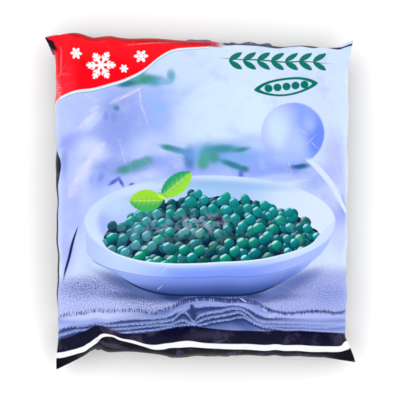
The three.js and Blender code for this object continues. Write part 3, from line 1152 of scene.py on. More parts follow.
# Shades across the bowl's inside and its front, and down its lip and its foot: share and colour
INSIDE_SHADES = [
    (0.0, (172, 190, 253)),
    (0.16, (174, 198, 254)),
    (0.3, (190, 216, 255)),
    (0.5, (166, 204, 246)),
    (0.66, (166, 200, 250)),
    (0.82, (212, 232, 255)),
    (1.0, (222, 236, 255)),
]
LIP_SHADES = [
    (0.0, (226, 244, 255)),
    (0.1, (196, 220, 255)),
    (0.28, (152, 180, 254)),
    (0.5, (132, 162, 254)),
    (1.0, (122, 150, 248)),
]
FRONT_SHADES = [
    (0.0, (186, 204, 252)),
    (0.16, (204, 224, 254)),
    (0.34, (196, 220, 255)),
    (0.5, (140, 168, 254)),
    (0.62, (140, 168, 252)),
    (0.8, (172, 190, 254)),
    (1.0, (184, 202, 255)),
]
FOOT_SHADES = [
    (0.0, (130, 152, 238)),
    (0.25, (114, 136, 218)),
    (0.55, (80, 102, 176)),
    (0.8, (58, 82, 146)),
    (1.0, (34, 54, 104)),
]
LIP_DEPTH = 14.0  # millimetres of film that the shades down the lip or the foot span
INSIDE_REACH = 95.0  # millimetres of film that the shades across the inside span each way
FRONT_REACH = 100.0
BRIGHT_LIP = (106, 314)  # pixels across
STEP_FADE = [(316, 260), (290, 260)]
CONTACT = (122, 278)


def bowl_outline(page):
    """A mask of the whole bowl, from its rim to its underside."""
    nodes = page.nodes
    left, right = (film_at(*pixel)[0] for pixel in BOWL_SIDES)
    sides = nodes.within(page.u, left, right, 0.4)
    level = film_at(*BOWL_RIM[0])[1]
    wall = nodes.times(page.above(page.line(BOWL_UNDER), CRISP), page.below(level, 0.4), sides)
    return nodes.larger(wall, page.ellipse(*BOWL_RIM, 0.0, 0.01))


def paint_bowl_back(page, bowl):
    """The bowl's outside shadow, its silhouette and its inside, before the peas."""
    nodes = page.nodes
    page.blobs(BOWL_SHADOWS)
    page.paint(bowl, (206, 225, 255))
    page.paint(nodes.times(bowl, nodes.step(page.u, 40.0, 96.0)), (222, 236, 255))
    hollow = page.ellipse(*BOWL_HOLLOW, 0.0, 0.05)
    inside = nodes.ramp(nodes.scaled(page.u, -INSIDE_REACH, INSIDE_REACH), INSIDE_SHADES)
    page.paint(hollow, inside, 0.92)
    page.blobs(BOWL_INSIDE_TINTS)


def paint_bowl_front(page, bowl):
    """The bowl's front lip and side, over the peas."""
    nodes = page.nodes
    under_lip = nodes.minus(page.line(BOWL_FRONT_EDGE), page.v)
    front = nodes.times(nodes.step(under_lip, -CRISP, CRISP), bowl)
    page.paint(front, nodes.ramp(nodes.scaled(under_lip, 0.0, LIP_DEPTH), LIP_SHADES))
    across = nodes.ramp(nodes.scaled(page.u, -FRONT_REACH, FRONT_REACH), FRONT_SHADES)
    to_side = nodes.step(nodes.absolute(nodes.plus(page.u, -8.0)), 14.0, 72.0)
    page.paint(nodes.times(front, to_side), across, 0.85)
    rim_top = nodes.times(page.ellipse(*BOWL_RIM, 0.0, 0.02), to_side)
    page.paint(nodes.times(front, rim_top), (214, 231, 255), 0.9)
    bright = nodes.times(nodes.step(under_lip, 1.4, 0.3), front, page.between(*BRIGHT_LIP, 6.0))
    page.paint(bright, (238, 250, 255), 0.8)
    under_step = nodes.minus(page.line(BOWL_STEP), page.v)
    shown = nodes.times(front, page.fade(*STEP_FADE))
    below = nodes.times(nodes.step(under_step, -0.8, 1.4), shown)
    page.paint(below, nodes.ramp(nodes.scaled(under_step, 0.0, LIP_DEPTH), FOOT_SHADES))
    lit_left = nodes.times(nodes.step(page.u, -18.0, -62.0), nodes.step(under_step, 12.0, 3.0))
    page.paint(nodes.times(below, lit_left), (158, 182, 253), 0.7)
    near = nodes.step(nodes.absolute(nodes.plus(under_step, 0.4)), 0.9, 0.1)
    page.paint(nodes.times(near, shown), (92, 108, 190), 0.45)
    contact = nodes.step(nodes.absolute(nodes.minus(page.v, page.line(BOWL_UNDER))), 1.1, 0.3)
    page.paint(nodes.times(contact, page.between(*CONTACT, 12.0)), (34, 46, 88))


PEA_CELL = 9.6  # film millimetres from pea to pea at the front of the bowl
HEAP_REACH = 20.0  # pea spacings that the heap's lines span each way
PEA_SHRINK = 0.0035  # how fast peas get smaller towards the back, for each millimetre
HEAP_FRONT = (211, 263)
HEAP_TOP = [
    (100, 246), (103, 236), (107, 226), (113, 219), (122, 215.5), (131, 212), (140, 210), (150, 207),
    (160, 198), (172, 194), (182, 192), (190, 186.5), (197, 188), (210, 190), (220, 188.5), (228, 193),
    (236, 194), (243, 190.5), (250, 192), (258, 198.5), (266, 198), (272, 202), (283, 201.5), (291, 203),
    (297, 209), (304, 212), (309, 219), (315, 222), (319, 230), (322, 240),
]
HEAP_TOP_GAP = 0.42  # how far a pea's centre stays from the heap's top, and from the bowl, in spacings
HEAP_FRONT_GAP = 0.6

# The layers of peas, from the lowest: how the pattern is turned and moved, how many show, and how
# much they are in shade
PEA_LAYERS = [(0.0, 0.0, 1.1, 0.74), (0.7, 7.37, 0.85, 0.5), (1.5, 13.61, 0.55, 0.16), (2.4, 23.9, 0.5, 0.0)]
PEA_RADIUS = 0.45  # in spacings
PEA_LIGHT = (-0.46, 0.77)  # towards the top left

# A pea's shades from dark to lit, for a bluer and for a greener one
BLUE_PEA = [
    (0.0, (4, 34, 62)),
    (0.18, (4, 66, 88)),
    (0.4, (4, 100, 112)),
    (0.62, (8, 122, 126)),
    (0.82, (22, 138, 140)),
    (0.88, (84, 180, 190)),
    (0.93, (186, 234, 248)),
]
GREEN_PEA = [
    (0.0, (4, 38, 60)),
    (0.18, (6, 72, 82)),
    (0.4, (6, 110, 104)),
    (0.62, (14, 138, 118)),
    (0.82, (34, 154, 124)),
    (0.88, (104, 194, 168)),
    (0.93, (190, 236, 232)),
]
BETWEEN_PEAS = (24, 42, 66)
SHADED_PEA = (8, 40, 60)
MILKY_PEA = (124, 196, 222)
FAR_PEA = (36, 176, 178)
GLARE_HAZE = ((154, 228), (24, 13), 6.0, 0.9)
GLARE = ((200, 225), (24, 9), 2.0, 0.8)


def heap_place(u, v):
    """A film place as the heap's own place: in pea spacings, and with the back drawn larger."""
    away = v - film_at(*HEAP_FRONT)[1]
    return u * (1 + PEA_SHRINK * away) / PEA_CELL, away * (1 + PEA_SHRINK * away / 2) / PEA_CELL


def heap_group():
    """Where peas lie: Mask is 1 for a pea's centre between the heap's top and the bowl's front."""
    tree, nodes, entry, leaving = new_group("pea_heap", [("Place", "Vector")], [("Mask", "Float")])
    x, y = nodes.split(entry["Place"])
    lines = []
    for pixels, gap in ((HEAP_TOP, HEAP_TOP_GAP), (BOWL_FRONT_EDGE, HEAP_FRONT_GAP)):
        spots = sorted(heap_place(*film_at(*pixel)) for pixel in pixels)
        lines.append(nodes.minus(nodes.curve(x, spots, HEAP_REACH), gap))
    below_top = nodes.step(nodes.minus(lines[0], y), 0.0, 0.01)
    nodes.put(leaving["Mask"], nodes.times(below_top, nodes.step(nodes.minus(y, lines[1]), 0.0, 0.01)))
    return tree


def paint_peas(page):
    nodes = page.nodes
    heap = heap_group()
    away = nodes.minus(page.v, film_at(*HEAP_FRONT)[1])
    x = nodes.times(page.u, nodes.plus(nodes.times(away, PEA_SHRINK), 1.0), 1 / PEA_CELL)
    y = nodes.times(away, nodes.plus(nodes.times(away, PEA_SHRINK / 2), 1.0), 1 / PEA_CELL)
    place = nodes.vector(x, y)
    dark_place = nodes.vector(x, nodes.plus(y, 0.3))
    page.paint(nodes.group(heap, {"Place": dark_place})["Mask"], BETWEEN_PEAS)
    left = nodes.step(page.u, 12.0, -44.0)
    far = nodes.scaled(away, 12.0, 60.0, 0.0, 0.42)
    for turn, shift, fill, shaded in PEA_LAYERS:
        moved = nodes.turned_and_moved(place, turn, shift)
        light_x = PEA_LIGHT[0] * math.cos(turn) - PEA_LIGHT[1] * math.sin(turn)
        light_y = PEA_LIGHT[0] * math.sin(turn) + PEA_LIGHT[1] * math.cos(turn)
        inputs = {"Place": moved, "Light": (light_x, light_y, 0), "Radius": PEA_RADIUS, "Fill": fill}
        peas = nodes.group(PEAS, inputs)
        centre = nodes.turned_and_moved(peas["Centre"], turn, shift, back=True)
        here = nodes.group(heap, {"Place": centre})["Mask"]
        blue = nodes.ramp(peas["Shade"], BLUE_PEA)
        green = nodes.ramp(peas["Shade"], GREEN_PEA)
        colour = nodes.mix(nodes.step(peas["Tone"], 0.45, 0.9), blue, green)
        milky = nodes.times(left, nodes.scaled(peas["Tone"], 0.0, 0.6, 0.32, 0.0))
        colour = nodes.mix(milky, colour, MILKY_PEA)
        colour = nodes.mix(far, colour, FAR_PEA)
        if shaded:
            colour = nodes.mix(shaded, colour, SHADED_PEA)
        page.paint(nodes.times(peas["Mask"], here), colour)


def paint_pea_glare(page):
    """The film's milky glare over the middle of the heap."""
    nodes = page.nodes
    patchy = nodes.step(nodes.noise(page.place, 0.2, 3.0, 0.6), 0.42, 0.6)
    page.paint(nodes.times(page.ellipse(*GLARE_HAZE), patchy), (146, 194, 220), 0.34)
    page.paint(nodes.times(page.ellipse(*GLARE), patchy), (172, 184, 214), 0.55)


# The leaves on the heap: base, tip, half width, the light and the dark colour
MINT = [
    ((163, 200.5), (129.5, 201), 11.0, (160, 226, 58), (70, 180, 96)),
    ((161, 197), (191.5, 172), 9.6, (158, 228, 70), (50, 166, 112)),
    ((157, 193), (168, 199), 2.8, (196, 242, 100), (126, 208, 90)),
]


def paint_mint(page):
    """Toothed leaves on the heap's left."""
    nodes = page.nodes
    for base, tip, half_width, light, dark in MINT:
        leaf = page.leaf_parts(base, tip, half_width, 0.06, teeth=0.03)
        edge = nodes.absolute(leaf["Across"])
        veins = nodes.math("SINE", nodes.plus(nodes.times(leaf["Along"], 44.0), nodes.times(edge, -6.0)))
        shade = nodes.step(nodes.plus(leaf["Across"], nodes.times(veins, 0.12)), -0.5, 0.7)
        rib = nodes.times(nodes.step(edge, 0.1, 0.02), 0.5)
        colour = nodes.mix(rib, nodes.mix(shade, light, dark), (206, 244, 150))
        page.paint(leaf["Mask"], colour)


# The linen: its first line, its frayed edge, and each fold's line with how wide its ridge is
LINEN_TOP = [
    (56, 280), (80, 276), (100, 274), (124, 276), (200, 280), (300, 272), (326, 270), (350, 272),
]
LINEN_EDGE = [
    (56, 317), (64, 315), (81, 313), (102, 310.7), (124, 310), (142, 310.7), (154, 312.4), (166, 309.3),
    (176, 305), (185, 301.4), (196, 299), (214, 299), (229, 301), (240, 300.5), (257, 303.5), (264, 307),
    (274, 311.4), (291, 313), (321, 311.4), (337, 313), (346, 309),
]
LINEN_FOLDS = [
    ([
        (56, 327), (75, 325), (98, 322), (124, 320), (145, 319), (159, 318.5), (169, 316.5), (178, 312),
        (188, 309.5), (205, 306.5), (222, 306), (236, 305), (247, 308), (257, 313.5), (269, 317.5),
        (282, 317), (300, 318), (320, 316.5), (348, 318),
    ], 2.0),
    ([
        (56, 331), (66, 327.5), (80, 327), (98, 324.5), (113, 326.5), (133, 325), (151, 323.5), (166, 322),
        (175, 319.5), (179, 315), (184, 313), (188.5, 316.5), (193, 322), (198, 318), (205, 315),
        (221, 312), (238, 309.5), (247, 313.5), (257, 321), (267, 323), (290, 323.5), (348, 322),
    ], 1.5),
    ([
        (56, 335), (75, 332), (100, 329), (130, 329), (155, 326.5), (170, 325.5), (183, 321.5), (193, 324.5),
        (204, 320), (216, 317.5), (229, 315.5), (240, 313.5), (247, 318), (256, 323.5), (269, 326.5),
        (290, 327), (320, 328), (348, 327),
    ], 1.3),
    ([
        (56, 340), (100, 334), (150, 331), (180, 326), (200, 325.5), (214, 322.5), (230, 320), (242, 318),
        (252, 323), (262, 327), (280, 329.5), (310, 331), (348, 330),
    ], 1.0),
]
FOLD_FADE = [(318, 320), (262, 320)]  # to the right the folds are shallow

# Darker fields of the linen, where its grain shows most: centre, half sizes, colour, angle
LINEN_SHADES = [
    ((86, 288), (28, 9), (88, 106, 172), 3),
    ((136, 296), (26, 10), (92, 110, 174), -14),
    ((116, 283), (14, 9), (104, 122, 188), -20),
    ((292, 285), (24, 10), (98, 116, 186), 18),
    ((330, 294), (18, 8), (122, 140, 214), 0),
    ((268, 297), (22, 6), (104, 118, 184), 16),
]
LINEN_LIGHTS = [
    ((102, 315.5), (50, 4.2), (200, 208, 254), 2),
    ((306, 316), (44, 3.4), (184, 196, 252), 0),
]
UNDER_EDGE_SHADES = [
    ((196, 320), (56, 9), (74, 92, 150), 0),
    ((206, 309), (22, 4), (84, 104, 166), 0),
    ((150, 326), (34, 5), (76, 92, 148), 4),
    ((86, 330), (30, 4.5), (66, 82, 132), 4),
    ((248, 322), (14, 9), (80, 98, 160), -30),
    ((235, 318), (10, 5), (56, 72, 130), -20),
    ((306, 328), (40, 4), (126, 142, 206), 0),
]
LINEN_WEAVE = [
    (0.34, (128, 140, 204)),
    (0.43, (166, 176, 236)),
    (0.53, (186, 196, 248)),
    (0.62, (204, 212, 255)),
    (0.7, (230, 236, 255)),
]
PLEAT = ((191.5, 304), (194.5, 321), 3.4, 0.8)
FRINGE_MIDDLE = (168, 266)  # pixels across
FRINGE_RIGHT = (268, 346)
FUZZY_STRETCH = (184, 246)

# Loose threads: from pixel to pixel
THREADS = [((240, 298), (247, 302.5)), ((262, 308), (267, 312)), ((268, 318), (276, 313))]

def paint_linen(page):
    """The linen under the bowl: a grainy field that is darker towards the bowl."""
    nodes = page.nodes
    weave = nodes.noise(page.place, 1.05, 2.0, 0.75)
    base = nodes.ramp(weave, LINEN_WEAVE)
    start = page.below(page.line(LINEN_TOP), 7.0)
    page.paint(start, base)
    page.paint(nodes.times(start, nodes.step(page.u, 10.0, 70.0)), (130, 144, 222), 0.35)
    grain = nodes.scaled(nodes.step(weave, 0.58, 0.44), 0.0, 1.0, 0.18, 0.95)
    for centre, half_size, colour, angle in LINEN_SHADES:
        page.paint(nodes.times(page.ellipse(centre, half_size, angle, 0.85), grain), colour)


def paint_linen_folds(page, fuzz):
    """Each fold: a dark furrow below a tufted ridge."""
    nodes = page.nodes
    for pixels, width in LINEN_FOLDS:
        deep = nodes.scaled(page.fade(*FOLD_FADE), 0.0, 1.0, 0.12, 0.85)
        off = nodes.plus(nodes.minus(page.v, page.line(pixels)), nodes.times(fuzz, 3.4))
        furrow = nodes.times(nodes.step(off, -width * 2.8, -width), nodes.step(off, 0.3, -width * 0.5))
        page.paint(nodes.times(furrow, deep), (46, 62, 114))
        ridge = nodes.times(nodes.step(off, -width * 0.4, 0.3), nodes.step(off, width * 1.8, width * 0.8))
        tufts = nodes.scaled(fuzz, -0.16, 0.2, 0.2, 1.0)
        page.paint(nodes.times(ridge, tufts), (170, 186, 250))
    page.paint(page.leaf(*PLEAT), (54, 66, 116))


def paint_fringe(page, edge, fuzz):
    """The gaps of the frayed edge, its dark line to the right, and the fuzz above it."""
    nodes = page.nodes
    strands = nodes.noise(nodes.stretched(page.place, 1.1, 0.16), 1.0, 1.0)
    off = nodes.minus(page.v, edge)
    gaps = nodes.times(nodes.step(off, 2.2, 0.8), nodes.step(off, -2.6, -1.0))
    middle = nodes.times(page.between(*FRINGE_MIDDLE, 12.0), nodes.step(strands, 0.7, 0.5))
    share = nodes.larger(nodes.step(strands, 0.52, 0.42), middle)
    page.paint(nodes.times(gaps, share), (46, 56, 108), 0.85)
    line = nodes.times(nodes.step(off, 1.4, 0.5), nodes.step(off, -1.2, -0.4))
    page.paint(nodes.times(line, page.between(*FRINGE_RIGHT, 5.0)), (56, 68, 124), 0.7)
    above = nodes.times(nodes.step(off, 1.2, 2.0), nodes.step(off, 5.0, 3.0))
    fuzzy = nodes.times(page.between(*FUZZY_STRETCH, 12.0), nodes.step(fuzz, -0.12, 0.1))
    page.paint(nodes.times(above, fuzzy), (128, 146, 212), 0.7)


def paint_linen_front(page):
    """The linen below its frayed edge."""
    nodes = page.nodes
    edge = page.line(LINEN_EDGE)
    fuzz = nodes.minus(nodes.noise(page.place, 0.85, 2.0, 0.7), 0.5)
    ragged = nodes.plus(nodes.minus(page.v, edge), nodes.times(fuzz, 3.0))
    page.paint(nodes.step(ragged, 0.8, -0.6), (140, 156, 224))
    page.blobs(LINEN_LIGHTS, 0.7)
    page.blobs(UNDER_EDGE_SHADES, 0.7)
    paint_linen_folds(page, fuzz)
    paint_fringe(page, edge, fuzz)
    for start, finish in THREADS:
        page.paint(page.leaf(start, finish, 0.6, 0.6), (190, 202, 252))


# The dark band along the bottom, and the white stripe across it
BAND_TOP = [
    (54, 336), (70, 336.4), (82, 332), (92, 327), (98, 326), (105, 327), (114, 331.4), (125, 333.6),
    (145, 332.9), (159, 331), (174, 328), (185, 326.4), (200, 327), (217, 329), (236, 330.4), (257, 331),
    (286, 331), (317, 331.7), (352, 331.6),
]
STRIPE_TOP = [
    (54, 352), (68, 351), (79, 348), (88, 343.6), (96, 338), (103.6, 333.6), (112, 335), (122, 338.6),
    (134, 340.7), (145, 344), (154, 345), (168, 343.3), (182, 341.3), (205, 343), (229, 344),
    (257, 344.6), (286, 345.3), (314, 346), (334, 346.4), (341, 345.8), (344, 342.5), (348, 336),
]
STRIPE_BOTTOM = [
    (54, 357.6), (66, 357), (78, 353.6), (88, 349.3), (96, 343.6), (103.6, 337), (112, 336.9),
    (119, 340), (131, 343), (145, 347), (154, 349.6), (162, 349.6), (171, 348), (182, 347.6), (205, 348),
    (229, 349.3), (257, 350.4), (286, 351), (314, 352), (338, 352), (345, 350.5), (352, 346),
]
# Painted sheen: lighter grey streaks where the dark band's wrinkles catch the light
BAND_SHEEN = [
    ((206, 335), (18, 4), (64, 62, 88), 4, 0.9, 0.6),
    ((110, 331), (8, 3), (66, 62, 84), -20, 0.8, 0.7),
]
# The tucked film's own dark colour through clouds, with painted grey highlights on its crinkles at the
# lightest, and a painted highlight on one crinkled facet
TUCKED_FILM_AND_HIGHLIGHTS = [(0.38, (12, 10, 24)), (0.58, (30, 27, 46)), (0.74, (84, 80, 108))]
TUCKED_HIGHLIGHT = [((112, 346), (13, 3.4), (70, 66, 84), -18, 0.5, 0.8)]


def paint_foot(page):
    """The dark band along the bottom with its painted sheen, the white stripe, a painted shadow line under
    the stripe, and the dark film that tucks under, with painted highlights on its crinkles.
    """
    nodes = page.nodes
    cloudy = nodes.noise(page.place, 0.07, 3.0, 0.6)
    dark = nodes.mix(nodes.step(cloudy, 0.48, 0.7), NIGHT, (58, 55, 82))
    page.paint(page.below(page.line(BAND_TOP), 0.4), dark)
    page.blobs(BAND_SHEEN)
    top = page.line(STRIPE_TOP)
    bottom = page.line(STRIPE_BOTTOM)
    page.paint(nodes.times(page.below(top, CRISP), page.above(bottom, CRISP)), WHITE)
    page.paint(page.below(bottom, CRISP), nodes.ramp(cloudy, TUCKED_FILM_AND_HIGHLIGHTS))
    shadow = nodes.minus(bottom, page.v)
    page.paint(nodes.times(nodes.step(shadow, 0.0, 0.3), nodes.step(shadow, 2.4, 1.2)), (16, 13, 28))
    page.blobs(TUCKED_HIGHLIGHT)


# The red corner: the line of its lower border, where it ends, the painted shade and painted highlight along
# its side, and its frost
WAVE = [
    (50, 106), (56.6, 101), (66, 94), (82, 89.4), (99, 86.7), (112, 83), (128, 77.5), (144, 69),
    (155, 60), (166, 52.5), (174, 49.3), (187, 47.7), (200, 47), (209, 46), (217, 42), (226, 34),
]
CORNER_END = [(226, 60), (218, 60)]
SIDE_SHADE_AND_HIGHLIGHT = [
    ((59, 70), (3.5, 26), (222, 8, 30), 0, 0.6, 0.8),
    ((61, 62), (1.2, 12), (246, 120, 140), -8, 0.9, 0.6),
]
FROST = ((58.5, 92), (5, 11), 14.0, 0.7)
BORDER = [(2.5, (110, 160, 190)), (2.0, ICE)]  # how far below the line, and in what colour

# The top fold: where the red is painted darker as the film turns away into shade, where that ends, and the
# thin painted shadow line to the right of it
FOLD_SHADE = [
    (45, 30), (60, 34.5), (72, 36), (84, 38.5), (102, 40), (120, 41.5), (140, 42.5), (160, 43.5),
    (180, 44.5), (200, 45.5), (216, 47), (232, 47),
]
FOLD_SHADE_END = [(228, 60), (214, 60)]
CREST = [
    (205, 46.8), (218, 45.1), (228, 45.5), (238, 45.1), (252, 45.7), (266, 47.1), (280, 48.5),
    (284, 47.7), (298.6, 46.5), (314, 48.2), (323, 47.4), (329, 48.3), (338, 49.7), (344, 48),
    (353, 45.8),
]
CREST_START = [(220, 60), (226, 60)]
CREST_EAR = [(334, 60), (343, 60)]
CREST_WIDTHS = (12.0, 2.4)  # millimetres, before the ear and at it


def paint_corner(page):
    """The red field over the top left corner, with its pale border and its frosty lower end."""
    nodes = page.nodes
    wave = page.line(WAVE)
    left = page.fade(*CORNER_END)
    for width, colour in BORDER:
        page.paint(nodes.times(left, page.above(nodes.minus(wave, width), 0.3)), colour)
    cloudy = nodes.noise(page.place, 0.04, 4.0, 0.6)
    red = nodes.mix(nodes.step(cloudy, 0.5, 0.75), RED, (255, 44, 66))
    red = nodes.mix(nodes.step(cloudy, 0.46, 0.28), red, (236, 6, 24))
    page.paint(nodes.times(left, page.above(wave, CRISP)), red)
    # Painted shade over the facet along the left side, and a painted highlight along its crease
    page.blobs(SIDE_SHADE_AND_HIGHLIGHT)
    frost = nodes.step(nodes.noise(page.place, 0.8, 2.0, 0.7), 0.5, 0.62)
    page.paint(nodes.times(page.ellipse(*FROST), frost), (236, 214, 236), 0.85)


def paint_fold_shade(page):
    """Painted shade where the film turns away into the top fold, and a thin painted shadow line there."""
    nodes = page.nodes
    wavy = nodes.times(nodes.minus(nodes.noise(page.place, 0.12, 2.0), 0.5), 2.2)
    turn = nodes.plus(page.line(FOLD_SHADE), wavy)
    streaks = nodes.noise(nodes.stretched(page.place, 0.35, 1.6), 1.0, 2.0)
    deep = nodes.mix(nodes.step(streaks, 0.42, 0.62), SHADED_RED, (222, 2, 14))
    page.paint(nodes.times(page.above(turn, 1.4), page.fade(*FOLD_SHADE_END)), deep, 0.95)
    # A thin painted shadow line in the gap between the fold and the seal that stands behind it
    crest = page.line(CREST)
    width = nodes.scaled(page.fade(*CREST_EAR), 0.0, 1.0, *CREST_WIDTHS)
    thin = nodes.times(page.above(crest, 0.5), page.below(nodes.plus(crest, width), 0.5))
    page.paint(nodes.times(thin, page.fade(*CREST_START)), (22, 24, 66), 0.95)


# Snow crystals: centre, radius, and line width as a share of it
CRYSTALS = [((101, 65), 14.5, 0.08), ((141, 56), 7.0, 0.1), ((76, 53), 6.0, 0.11), ((124, 68.5), 4.2, 0.13)]

# A sprig: its stem, its first pair of leaves, the step from pair to pair, and a leaf's run and rise
SPRIG_STEM = ((275, 61.5), (50, 0.9), -1.0, 0.3)
SPRIG_START = (229, 60.7)
SPRIG_STEP = (14.0, 0.2)
SPRIG_PAIRS = 7
SPRIG_LEAF = (13, 8.5)
SPRIG_LEAF_HALF_WIDTH = 3.1

# A pod: its outside and inside as base, tip, half width and softness, and the peas in it
POD_OUTSIDE = ((254, 90), (318, 83), 9.5, 0.03)
POD_INSIDE = ((260, 89.4), (312, 83.6), 7.2, 0.04)
POD_FIRST_PEA = (268.5, 88.4)
POD_STEP = (9.0, -0.95)
POD_PEAS = 5
POD_PEA_SIZE = (4.0, 4.0)


def paint_emblems(page):
    """Plain motifs: snow crystals, a sprig and a pod."""
    for centre, radius, line in CRYSTALS:
        at = (*film_at(*centre), 0)
        inputs = {"Place": page.place, "Centre": at, "Radius": radius * PIXEL, "Line": line}
        page.paint(page.nodes.group(SNOW_CRYSTAL, inputs)["Mask"], WHITE)
    page.paint(page.ellipse(*SPRIG_STEM), TEAL)
    for pair in range(SPRIG_PAIRS):
        px, py = (start + pair * step for start, step in zip(SPRIG_START, SPRIG_STEP))
        for side in (-1, 1):
            tip = (px + SPRIG_LEAF[0], py + side * SPRIG_LEAF[1])
            page.paint(page.leaf((px, py), tip, SPRIG_LEAF_HALF_WIDTH, 0.1), TEAL)
    page.paint(page.leaf(*POD_OUTSIDE), TEAL)
    page.paint(page.leaf(*POD_INSIDE), (205, 228, 255))
    for pea in range(POD_PEAS):
        centre = tuple(start + pea * step for start, step in zip(POD_FIRST_PEA, POD_STEP))
        page.paint(page.ellipse(centre, POD_PEA_SIZE, 0.0, 0.1), TEAL)


# The left side: the line left of which the dark back film shows, and the ear's dark underside
LEFT_SIDE = [
    (52.5, 60), (52.5, 95), (52.5, 118), (52.5, 138), (55.2, 146), (58.2, 154), (60.9, 163), (59.8, 175),
    (58.1, 188), (58.0, 240), (58.2, 290), (58.0, 325), (57.3, 345), (55.8, 352),
]
EAR_UNDERSIDE = [(40, 36), (45, 38.8), (50, 40), (57, 41.5), (64, 42)]
EAR_RIGHT = [(56.5, 46), (54.5, 46)]
EAR_FOOT = [(60, 52), (60, 47)]


def paint_left_edge(page):
    """The dark back film that shows along the left side, and the ear's dark underside."""
    nodes = page.nodes
    side = page.upright(LEFT_SIDE)
    page.paint(nodes.step(nodes.minus(page.u, side), CRISP, -CRISP), (22, 20, 42))
    ear = nodes.times(page.fade(*EAR_RIGHT), page.fade_along(*EAR_FOOT))
    page.paint(nodes.times(ear, page.below(page.line(EAR_UNDERSIDE), 0.6)), (16, 20, 34))


# Painted highlights where the film's creases catch the light: from pixel, to pixel, half width, strength
CREASE_HIGHLIGHTS = [
    ((78, 129), (98, 111), 2.4, 0.4),
    ((109, 104), (126, 95), 2.2, 0.3),
    ((120, 99), (141, 88), 1.5, 0.5),
    ((139, 88), (142, 110), 1.0, 0.38),
    ((141, 104), (149, 126), 1.0, 0.3),
    ((88, 112), (100, 106), 2.2, 0.3),
    ((84, 93), (101, 103), 0.7, 0.3),
    ((69, 198), (79, 177), 5.0, 0.3),
    ((74, 188), (92, 158), 5.0, 0.3),
    ((84, 168), (105, 142), 4.0, 0.35),
    ((120, 142), (126, 166), 0.8, 0.25),
    ((160, 274), (172, 262), 0.5, 0.45),
    ((157, 290), (163, 285), 0.5, 0.4),
    ((238, 70), (204, 92), 1.0, 0.3),
    ((297, 127), (309, 136), 0.5, 0.35),
    ((305, 146), (318, 133), 0.5, 0.3),
    ((311, 142), (320, 150), 0.7, 0.4),
    ((288, 160), (292, 176), 1.0, 0.3),
    ((330, 150), (344, 200), 0.6, 0.3),
    ((286, 183), (312, 179), 0.6, 0.3),
    ((124, 45), (180, 43), 0.8, 0.2),
]

def paint_crease_highlights(page):
    nodes = page.nodes
    # Painted highlights along the creases, broken into dashes by noise
    broken = nodes.step(nodes.noise(page.place, 0.14, 3.0, 0.65), 0.26, 0.58)
    for start, finish, half_width, strength in CREASE_HIGHLIGHTS:
        page.paint(nodes.times(page.leaf(start, finish, half_width, 0.7), broken), (246, 238, 255), strength)


def front_print(nodes, place):
    page = Page(nodes, place, SKY)
    paint_backdrop(page)
    paint_herbs(page)
    paint_ladle(page)
    paint_linen(page)
    bowl = bowl_outline(page)
    paint_bowl_back(page, bowl)
    for paint in (paint_linen_front, paint_foot, paint_corner, paint_emblems, paint_fold_shade, paint_peas):
        paint(page)
    paint_pea_glare(page)
    paint_bowl_front(page, bowl)
    paint_mint(page)
    paint_crease_highlights(page)
    paint_left_edge(page)
    return page.colour


# The back's print, in millimetres from the middle of the film
BACK_HALF_WIDTH = 79.5  # of the panel and the band
PANEL_MIDDLE = -8.0
PANEL_HALF_LENGTH = 71.5
BAND_SPAN = (76.5, 97.5)
LINE_SPAN = (-97.7, -93.3)


def back_print(nodes, place):
    """The back: dark film with a bare pale panel, a red band and a thin white line."""
    u, v = nodes.split(place)
    cloudy = nodes.noise(place, 0.04, 3.0, 0.6)
    colour = nodes.mix(nodes.step(cloudy, 0.4, 0.75), (30, 29, 50), (50, 49, 74))
    across = nodes.within(u, -BACK_HALF_WIDTH, BACK_HALF_WIDTH, 0.5)
    panel = nodes.within(v, PANEL_MIDDLE - PANEL_HALF_LENGTH, PANEL_MIDDLE + PANEL_HALF_LENGTH, 0.5)
    colour = nodes.mix(nodes.times(across, panel), colour, (206, 216, 244))
    colour = nodes.mix(nodes.times(across, nodes.within(v, *BAND_SPAN, 0.5)), colour, (214, 10, 26))
    return nodes.mix(nodes.within(v, *LINE_SPAN, 0.3), colour, (240, 246, 252))


# The seals' colours, from the darker clouds of each to the lighter ones
LILAC_FILM = [(0.3, (190, 160, 236)), (0.5, (220, 195, 250)), (0.75, (236, 220, 255))]
BLUE_FILM = [(0.3, (120, 134, 206)), (0.5, (172, 184, 236)), (0.75, (204, 214, 250))]
BLACK_FILM = [(0.3, (16, 14, 28)), (0.6, (34, 32, 52)), (0.8, (70, 66, 96))]
RED_FILM = [(0.3, (150, 2, 12)), (0.5, (222, 6, 18)), (0.75, (244, 20, 34))]
DARK_FILM = [(0.3, (22, 20, 36)), (0.6, (40, 38, 60)), (0.8, (70, 66, 96))]

# Where they lie across the film, in millimetres
BLUE_SPAN = (8, 150)
DARK_FOLD_SPAN = (8, 16)
RED_SPANS = [(-92, -78), (-28, 24)]
LILAC_SCRAP = (6, 13)
SPAN_SOFTNESS = 0.6


def seal_stretch(nodes, place, span):
    """A mask of the seal between two places across."""
    return nodes.within(nodes.split(place)[0], *span, SPAN_SOFTNESS)


def top_seal_print(nodes, place):
    """Lilac film, bluer to the right, and darker over a short span between, where it folds."""
    cloudy = nodes.noise(place, 0.3, 3.0, 0.6)
    lilac = nodes.ramp(cloudy, LILAC_FILM)
    colour = nodes.mix(seal_stretch(nodes, place, BLUE_SPAN), lilac, nodes.ramp(cloudy, BLUE_FILM))
    return nodes.mix(seal_stretch(nodes, place, DARK_FOLD_SPAN), colour, (58, 60, 112))


